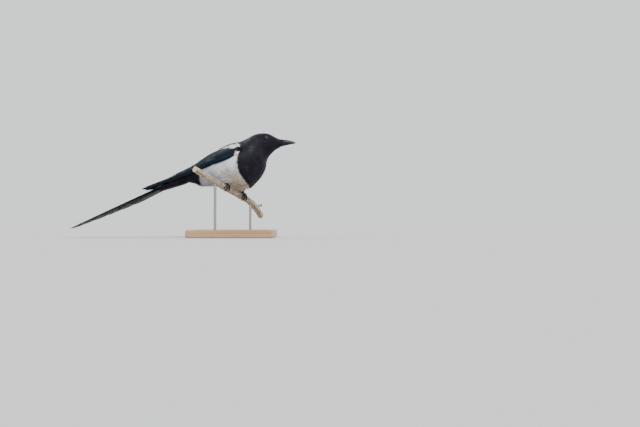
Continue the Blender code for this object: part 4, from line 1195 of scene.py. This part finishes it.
def lay_rows(surface, rows, sink, **look):
    """Rows of feathers from places along and across a wing; sink is the height of their roots."""
    made = []
    for root_a, root_b, tips, tip_b, width, heights, step, tilt in rows:
        for k, reach in enumerate(tips):
            share = k / (len(tips) - 1)
            root = blend(*root_a, share), blend(*root_b, share)
            tip = reach + rng.normal(0, 0.003), blend(*tip_b, share)
            made.append(vane(surface, WING_STEPS, root, tip, width * rng.uniform(0.95, 1.05),
                             (heights[0] + step * k, heights[1] + step * k, sink),
                             math.radians(tilt), wing_patch(*root), **look))
    return made


def on_scapulars(surface, s, v):
    """Where short scapular feathers grow: over the long ones, and white ones ahead of the wing."""
    point = surface(s, v, np.zeros(len(s)))
    over = s < np.interp(v, (0.05, 0.54), (0.15, 0.075))
    return over & ((s > 0.02) | (scapular_white(point) > 0.5))


def make_wing(word, side):
    """Feathers of a folded wing and of the shoulder over it."""
    surface = WINGS[side]
    wing = lay_rows(surface, FLIGHT_ROWS, -0.6, shaft=0.22, point=0.13, ragged=0.5)
    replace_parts(feathers(f"wing_feathers_{word}", wing, WING_GLOSS, "wing_plumage"), f"wing_{word}")
    coverts = lay_rows(surface, COVERT_ROWS, -0.2, shaft=0.05, point=0.42, ragged=0.8, base=0.6)
    feathers(f"coat_wing_coverts_{word}", coverts, COVERT_GLOSS, "wing_plumage")

    # the flesh under the coverts
    s, v = lattice(np.linspace(0, 0.5, 30), np.linspace(0.0, 1.0, 20))
    top, low = (surface(s.ravel(), v.ravel(), np.full(s.size, height)) for height in (0.0, -1.4))
    points, faces = closed_sheet(top, low, *s.shape)
    piece(f"wing_arm_{word}", points, faces, DOWN, "wing_plumage", {"white": np.zeros(len(points))})

    scapulars = feathers(f"scapular_feathers_{word}",
                         lay_rows(surface, SCAPULAR_ROWS, 0.2, point=0.34, ragged=1.2, base=0.55),
                         SCAPULAR, "white_plumage", scapular_white)
    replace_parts(scapulars, f"scapulars_{word}")
    for name, spans, size, lift, finish, slot, white_at, keep_at in (
            ("scapulars", ((-0.060, 0.150), (0.02, 0.70)), (7.5, 3.8), (2.4, 5.7), WHITE,
             "white_plumage", scapular_white, on_scapulars),
            ("shoulder", ((-0.055, 0.060), (0.99, 1.30)), (7.0, 3.2), (0.8, 5.2), WHITE,
             "white_plumage", shoulder_white, None),
            ("bend", ((-0.080, 0.010), (0.72, 1.16)), (5.6, 2.3), (0.4, 3.8), BLACK,
             "black_plumage", None, None),
            ("lesser", ((-0.010, 0.080), (0.68, 1.03)), (6.0, 3.4), (2.6, 5.2), BLACK,
             "wing_plumage", None, None)):
        simple_coat(f"coat_{name}_{word}", surface, spans, WING_STEPS, size, lift, finish, slot,
                    lambda a, b: wing_patch(np.clip(a, 0, 1), b), 0.05, 0.10, 9, 0.22,
                    white_at, keep_at)


def make_tail():
    """Tail feathers, the outer ones lowest, and the coverts round their root."""
    vanes = []
    for rank in reversed(range(len(TAIL_LENGTHS))):
        for side in (1, -1):
            level = TAIL_TOP_LEVEL - TAIL_LAYER * (rank + (TAIL_RIGHT if side < 0 else 0.0))
            start = TAIL_SPREAD[0] + TAIL_SPREAD[1] * rank
            turn = math.radians(TAIL_TURN[0] + TAIL_TURN[1] * rank)
            end = start + TAIL_LENGTHS[rank] * math.tan(turn)
            middle = (1.5 if rank else 0.5) * side
            vanes.append(vane(
                tail, TAIL_STEPS, (TAIL_START, side * start * 0.5 + middle * 0.3),
                (TAIL_LENGTHS[rank], side * end - middle * 0.6), TAIL_WIDTHS[rank], (level,) * 3,
                0.0, (0.5 + side * (0.03 + 0.07 * rank), 0.05), point=0.10 + 0.02 * rank,
                ragged=0.3, shaft=-0.30 * side if rank else 0.0, base=0.30))
    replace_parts(feathers("tail_feathers", vanes, TAIL_GLOSS, "tail_plumage"), "tail")
    simple_coat("coat_tail_coverts", tail_cover, ((-14.0, 46.0), (0.0, TURN)), COVERT_STEPS,
                (17.0, 6.0), (-0.8, 2.0), BLACK, "black_plumage",
                lambda a, b: round_patch(a, b, -14, 62), 0.07, 0.35)


def make_thigh_coats():
    for word, side in SIDES:
        simple_coat(f"coat_thigh_{word}", THIGHS[side], ((3.0, 34.0), (0.0, TURN)), THIGH_STEPS,
                    (11.0, 3.6), (-0.5, 2.6), WHITE, "white_plumage",
                    lambda a, b: round_patch(a, b, 0, 34), 0.045, 0.45,
                    bend=lambda way, a: FLANK_WAY * smooth((a - 2.0) / 16.0)[:, None] - way)


# ---------------- head parts
def make_bill():
    """Both halves of the bill, open by the gap between pieces, with nostrils in the upper one."""
    for name, rows, up in (("upper", UPPER_BILL, 1), ("lower", LOWER_BILL, -1)):
        flat = GAPE_Z + up * GAP / 2
        u = np.linspace(0, 1, BILL_RINGS)
        line = spline(rows, u * (len(rows) - 1))
        line[:6, 0] = np.linspace(BILL_BACK[name], line[6, 0], 7)[:6]
        x, edge, wide = (line[:, k, None] for k in range(3))
        a = np.linspace(0, math.pi, BILL_SIDES)
        ridge = BILL_RIDGE * bell(a - math.pi / 2, 0.16) * (1 - u[:, None]) * up
        z = flat + (edge - flat) * np.sin(a) ** BILL_ROUND + ridge
        lips = 1 + sum(LIP_RISE * bell(a - at, LIP_AT) for at in (LIP_AT, math.pi - LIP_AT))
        floor = np.linspace(-1, 1, BILL_FLOOR + 2)[1:-1]
        y = np.concatenate([wide * np.cos(a) * lips, wide * floor], 1)
        z = np.concatenate([z, np.full((BILL_RINGS, BILL_FLOOR), flat)], 1)
        points, faces = closed_tube(np.stack([np.broadcast_to(x, y.shape), y, z], -1))
        far = np.minimum(*(np.linalg.norm(points - NOSTRIL * (1, side, 1), axis=-1)
                           for _, side in SIDES))
        # the nostril dents; the bill's finish paints them near black as shade
        pit = bell(far, NOSTRIL_SIZE, 4)
        points[:, 1] -= np.sign(points[:, 1]) * pit
        high = np.abs(points[:, 2] - flat) / 7.0
        # paler towards the tip and away from the gape line: partly wear, partly painted sheen on the
        # bill
        wear_and_sheen = smooth((points[:, 0] - 84) / 26) * 0.5 + 0.5 * smooth(high * 1.2 - 0.2)
        made = piece(f"bill_{name}", points, faces, BILL, "bill_horn",
                     {"wear_and_sheen": np.clip(wear_and_sheen, 0, 1), "pit": pit}, crease=55)
        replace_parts(made, f"{name}_bill")


def face_size(x, angle):
    """How far the head reaches ahead of the eyes: its height, or its half width at an angle."""
    line = body(np.linspace(*FACE_T, 90), np.full(90, angle), 0.0)
    return np.interp(x, line[:, 0], np.abs(line[:, 1]) if angle else line[:, 2])


def bill_side(rows, up):
    """Side of a half of the bill, for what lies on it; the upper one runs back into the face."""
    def surface(x, angle, height):
        _, edge, half = spline(rows, np.interp(x, rows[:, 0], np.arange(len(rows)))).T
        flat = GAPE_Z + up * GAP / 2
        if up > 0:
            back = smooth((FACE_END - x) / 2.5)
            edge = np.maximum(edge, face_size(x, 0.0) * back)
            half = np.maximum(half, face_size(x, FACE_ANGLE) * back)
        shown = np.clip(np.sin(angle), 1e-4, 1) ** BILL_ROUND
        z = flat + (edge - flat + up * height) * shown
        return np.stack([x, (half + height) * np.cos(angle), z], -1)
    return surface


def make_bristles():
    """Bristles that lie forward over the nostrils, and short feathers at the lower bill's root."""
    def lay(surface, x, low, slope, length, width, root_lift, tip_lift, start, end):
        way = np.stack([np.ones(len(x)), np.zeros(len(x)), slope], -1)
        patch = np.stack([0.05 + 0.9 * (x - start) / (end - start), 0.05 + 0.9 * low / math.pi], -1)
        return tufts(surface, x, low, BILL_STEPS, way, length, np.full(len(x), width),
                     (np.full(len(x), root_lift), tip_lift), 2, 5, 0.3, patch)
    parts = []
    count = BRISTLE_COUNT
    for x0, x1, size, rise in BRISTLES:
        x = rng.uniform(x0, x1, count)
        right = rng.random(count) < 0.5
        low = np.where(right, rng.uniform(*BRISTLE_ROUND, count),
                       math.pi - rng.uniform(*BRISTLE_ROUND, count))
        slope = 0.10 * rng.normal(0, 1, count) - 0.05
        middle = np.abs(low - math.pi / 2)
        length = size * rng.uniform(0.5, 1.15, count) * np.clip(0.55 + 0.5 * middle, 0.6, 1.05)
        lift = rise * rng.uniform(0.6, 1.6, count) * (0.2 + 0.7 * middle)
        parts.append(lay(bill_side(UPPER_BILL, 1), x, low, slope, length, BRISTLE_WIDTH, -0.5, lift,
                         76, 85))
    count = CHIN_COUNT
    x = rng.uniform(*CHIN_X, count)
    low = rng.uniform(0.12, math.pi - 0.12, count)
    parts.append(lay(bill_side(LOWER_BILL, -1), x, low, 0.10 * rng.normal(0, 1, count),
                     rng.uniform(2.2, 6.4, count), CHIN_WIDTH, -0.4, rng.uniform(0.1, 0.35, count),
                     79, 86))
    points, faces, numbers, uv, _ = join(parts)
    piece("coat_bristles", points, faces, BLACK, "black_plumage", numbers, uv)


def make_eyes():
    for word, side in SIDES:
        seat, out = EYES[side]
        centre = seat - out * (EYE_RADIUS - EYE_PROUD)
        ahead = unit(np.cross((1.0, 0.0, 0.0), out))
        other = np.cross(out, ahead)
        polar, turn = lattice(np.linspace(0.02, math.pi - 0.02, 56), circle(64))
        points, faces = closed_tube(centre + ray(polar, out, ray(turn, ahead, other)) * EYE_RADIUS)
        ring = np.degrees(np.arccos(np.clip(np.sum(unit(points - centre) * out, -1), -1, 1)))
        made = piece(f"eyeball_{word}", points, faces, EYE, "eye", {"ring": ring})
        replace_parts(made, f"eye_{word}")

        # the lids: a rolled ring, heavier above
        sides, rolls = 72, 14
        a, b = circle(sides), circle(rolls)
        lid = ray(a, ahead, other)
        upper = 0.5 + 0.5 * lid[:, 2:]
        a = a[:, None]
        oval = 1.0 + LID_OVAL[0] * np.abs(np.cos(a)) - LID_OVAL[1] * np.abs(np.sin(a))
        major = (LID_RING - LID_DROOP * upper) * oval
        thick = LID_THICK * (0.75 + 0.45 * upper) * (1 + LID_FOLD * np.sin(a * LID_FOLDS))
        rings = (seat + lid[:, None] * (major + thick * np.cos(b))[..., None]
                 + out * (0.02 + thick * 0.75 * np.sin(b))[..., None])
        faces = np.roll(quads(sides + 1, rolls, True)[:, ::-1], 1, axis=1) % (sides * rolls)
        piece(f"lids_{word}", rings.reshape(-1, 3), faces, LID_SKIN, "black_plumage")


# ---------------- feet
def scutes(place, pitch):
    """Saw tooth of the horny plates along a toe or leg, from one to minus one."""
    return 1 - (place / pitch % 1.0) * 2


def toe(foot, start, length, claw, base, side_start, side_end):
    """A toe round the branch and its claw, as two closed tubes."""
    u = np.linspace(0, 1, TOE_RINGS)
    radius = base * (1.0 - TOE_TAPER * u) * (1.0 + TOE_PADS * np.cos(6 * math.pi * u))
    out = PERCH_RADIUS + TOE_CLEARANCE + radius
    angle = math.radians(start) + length * u / out
    line = ring_spot(foot + blend(side_start, side_end, smooth(u)), angle, out)
    flesh = sweep(line, radius * (1.0 + TOE_PLATE * scutes(u * abs(length), TOE_SCUTE)), 20)
    u = np.linspace(0, 1, CLAW_RINGS)
    radius = base * CLAW_BASE * (1.0 - u) ** 0.8 + CLAW_END
    out = PERCH_RADIUS + TOE_CLEARANCE + radius + np.sin(math.pi * u)
    angle = angle[-1] + claw * (u - 0.10) / (PERCH_RADIUS + 1.5)
    return flesh, sweep(ring_spot(np.full(CLAW_RINGS, foot + side_end), angle, out), radius, 14)


def make_feet():
    """Legs below the thighs, and the toes and claws that grip the branch."""
    for word, side in SIDES:
        foot = side * FOOT_AT
        flesh, claws = (list(tubes) for tubes in zip(*(toe(foot, *row) for row in TOES)))
        hub, _ = leg_start(foot)
        way = unit(LEG_LEAN)
        u = np.linspace(0, 1, LEG_RINGS)
        line = hub - way * LEG_SUNK + way * (u * TARSUS_LENGTH)[:, None]
        swell = np.interp(u, (0, 0.12, 0.3, 1.0),
                          (HUB_RADIUS * 0.92, HUB_RADIUS * 0.9, TARSUS_RADIUS, TARSUS_RADIUS))
        plates = LEG_PLATE * scutes(u * TARSUS_LENGTH, LEG_SCUTE) * smooth((u - 0.15) / 0.2)
        flesh.append(sweep(line, swell * (1.0 + plates), 24, (0.0, 1.0, 0.0)))
        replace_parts(piece(f"foot_skin_{word}", *join(flesh), SCALES, "foot_scale"), f"foot_{word}")
        piece(f"claws_{word}", *join(claws), CLAW, "foot_scale")


# ---------------- perch and stand
def bark_relief(along, angle):
    """Raised fibres, cracks and scars of the bark: height, crack and scar at each spot."""
    def drawn(count, *spans):
        """A place along and round the branch and a number from each span, count times."""
        for _ in range(count):
            yield [rng.uniform(*span) for span in ((-PERCH_NEAR, PERCH_FAR), (0, TURN), *spans)]
    relief, crack, scar = (np.zeros_like(along) for _ in range(3))
    for at, turn, long, wide in drawn(*CRACKS):
        gap = centred(angle - turn - CRACK_SLANT * (along - at))
        crack = np.maximum(crack, bell(along - at, long, 4) * bell(gap, wide))
    for at, turn, long, wide, rise in drawn(*FIBRES):
        relief += rise * bell(along - at, long) * bell(centred(angle - turn), wide)
    for at in RING_SCARS:
        wobble = at + 0.9 * np.sin(angle * 2 + at) + 0.35 * np.sin(angle * 5 + 2 * at)
        clear = 0.55 + 0.45 * np.sin(angle + 3 * at)
        scar = np.maximum(scar, bell(along - wobble, SCAR_WIDTH) * clear)
    fibres = np.clip(relief, FIBRE_LOW, FIBRE_HIGH)
    return fibres - CRACK_DEPTH * crack + SCAR_RISE * scar, crack, scar


def bark_numbers(along, round_it, crack, scar):
    """Numbers of a closed tube of bark; its two end points have zero."""
    words = ("bark_along", "bark_round", "crack", "scar")
    return {word: np.concatenate([np.ravel(values), np.zeros(2)])
            for word, values in zip(words, (along, round_it, crack, scar))}


def make_perch():
    """The branch with its side stub, and their sawn ends."""
    along, angle = lattice(np.linspace(-PERCH_NEAR, PERCH_FAR, BARK_RINGS), circle(BARK_SIDES))
    relief, crack, scar = bark_relief(along, angle)
    branch = closed_tube(ring_spot(along, angle, perch_radius(along) + relief - 0.05))
    branch_numbers = bark_numbers(along, angle * PERCH_RADIUS, crack, scar)

    root = perch_axis(STUB_AT)
    axes = zip(STUB_LEAN, (PERCH_UP, PERCH_FRONT, PERCH_WAY))
    way = unit(sum(share * axis for share, axis in axes))
    u = np.linspace(0, 1, STUB_RINGS)
    wide = np.interp(u, (0, 1 / 3, 2 / 3, 1), STUB_WIDTHS) * STUB_RADIUS
    wide = wide * (1 + 0.02 * np.sin(u * 40)) + rng.normal(0, 0.02, STUB_RINGS)
    stub = sweep(root + way * (u * STUB_LENGTH)[:, None], wide, STUB_SIDES)
    plain = np.zeros(STUB_RINGS * STUB_SIDES)
    stub_numbers = bark_numbers(np.repeat(u * STUB_LENGTH, STUB_SIDES),
                                np.tile(np.linspace(0, 17, STUB_SIDES), STUB_RINGS), plain, plain)
    points, faces, numbers = join([(*branch, branch_numbers), (*stub, stub_numbers)])
    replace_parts(piece("perch_bark", points, faces, BARK, "bark", numbers), "perch")

    ends = []

    def cut_end(rows, cols, place, size):
        r, a = lattice(np.linspace(0, 1, rows), circle(cols))
        ends.append((place(r, a).reshape(-1, 3), quads(rows, cols, True),
                     {"ring": (r * size).ravel()}))
    for at, sign in ((-PERCH_NEAR, -1), (PERCH_FAR, 1)):
        proud = unit(perch_axis(at) - perch_axis(at - sign * 0.5)) * 0.12
        size = perch_radius(at) - 0.35
        cut_end(14, 64, lambda r, a: ring_spot(at, a, r * size) + proud, PERCH_RADIUS)

    def stub_end(r, a):
        out = ray(a, *cross_axes(way, PERCH_WAY))
        return root + way * (STUB_LENGTH + 0.05) + out * (r * STUB_RADIUS * 0.88)[..., None]
    cut_end(8, STUB_SIDES, stub_end, 2.6)
    points, faces, numbers = join(ends)
    piece("cut_ends", points, faces, END, "bark", numbers)


def make_stand():
    """The rods, and the finish of the base, which is the part's own mesh."""
    for word, side in SIDES:
        x, y, z = perch_axis(side * ROD_AT)
        low, high = (z - down for down in ROD_RINGS)
        heights, a = lattice((BASE_HIGH - HOLE_DEPTH, BASE_HIGH, low, high), circle(64))
        rings = np.stack([x + ROD_RADIUS * np.cos(a), y + ROD_RADIUS * np.sin(a), heights], -1)
        made = piece(f"rod_{word}", *closed_tube(rings), STEEL, "rod_metal", crease=40)
        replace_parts(made, f"stand_rod_{word}")
    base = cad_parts["stand_base"]
    base.data.materials.clear()
    base.data.materials.append(OAK)


# ---------------- stage, light and camera
def make_stage():
    mesh = bpy.data.meshes.new("floor")
    corners = [(x * FLOOR_HALF, y * FLOOR_HALF, 0) for x, y in ((-1, -1), (1, -1), (1, 1), (-1, 1))]
    mesh.from_pydata(corners, [], [(0, 1, 2, 3)])
    m = Finish("floor_paint", (0.53, 0.53, 0.53), 0.9, 0.0)
    m.colour(m.mix(m.noise(3.0), (0.527, 0.532, 0.538), (0.538, 0.539, 0.536)))
    mesh.materials.append(m.made)
    link("floor", mesh)
    world = bpy.data.worlds.new("studio")
    world.use_nodes = True
    sky = world.node_tree.nodes["Background"]
    sky.inputs["Color"].default_value = SKY_COLOUR
    sky.inputs["Strength"].default_value = SKY_POWER
    bpy.context.scene.world = world


def soft_sun(name, place, power, spread, colour):
    """A soft lamp far away in the direction of place."""
    data = bpy.data.lights.new(name, "SUN")
    data.energy = power
    data.angle = math.radians(spread)
    data.color = colour
    light = link(name, data)
    light.location = place
    light.rotation_euler = (-Vector(place)).to_track_quat("-Z", "Y").to_euler()


def make_camera():
    """Near the floor and looking slightly up, as near to the photo's view as the floor allows."""
    data = bpy.data.cameras.new("camera")
    data.sensor_width = SENSOR
    data.clip_start = 0.005
    data.lens = CAMERA_AWAY * SENSOR / (PHOTO_WIDTH * PHOTO_SCALE)
    camera = link("camera", data)
    tip_x, tip_z, _ = UPPER_BILL[-1]
    x = tip_x + (PHOTO_WIDTH / 2 - BILL_TIP_PIXEL[0]) * PHOTO_SCALE
    z = tip_z - (PHOTO_HEIGHT / 2 - BILL_TIP_PIXEL[1]) * PHOTO_SCALE
    camera.location = Vector((x, -CAMERA_AWAY, CAMERA_HIGH)) * MM
    pitch = math.atan2(z - CAMERA_HIGH, CAMERA_AWAY)
    camera.rotation_euler = (math.pi / 2 + pitch, 0.0, 0.0)
    bpy.context.scene.camera = camera


skin = make_skin()
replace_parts(skin, "head", "neck", "breast", "torso", "rump", "leg_left", "leg_right")
coat_of_body()
for wing_word, wing_side in SIDES:
    make_wing(wing_word, wing_side)
make_tail()
make_thigh_coats()
make_bill()
make_bristles()
make_eyes()
make_feet()
make_perch()
make_stand()
make_stage()
for lamp_name, lamp in LAMPS.items():
    soft_sun(lamp_name, *lamp)
make_camera()
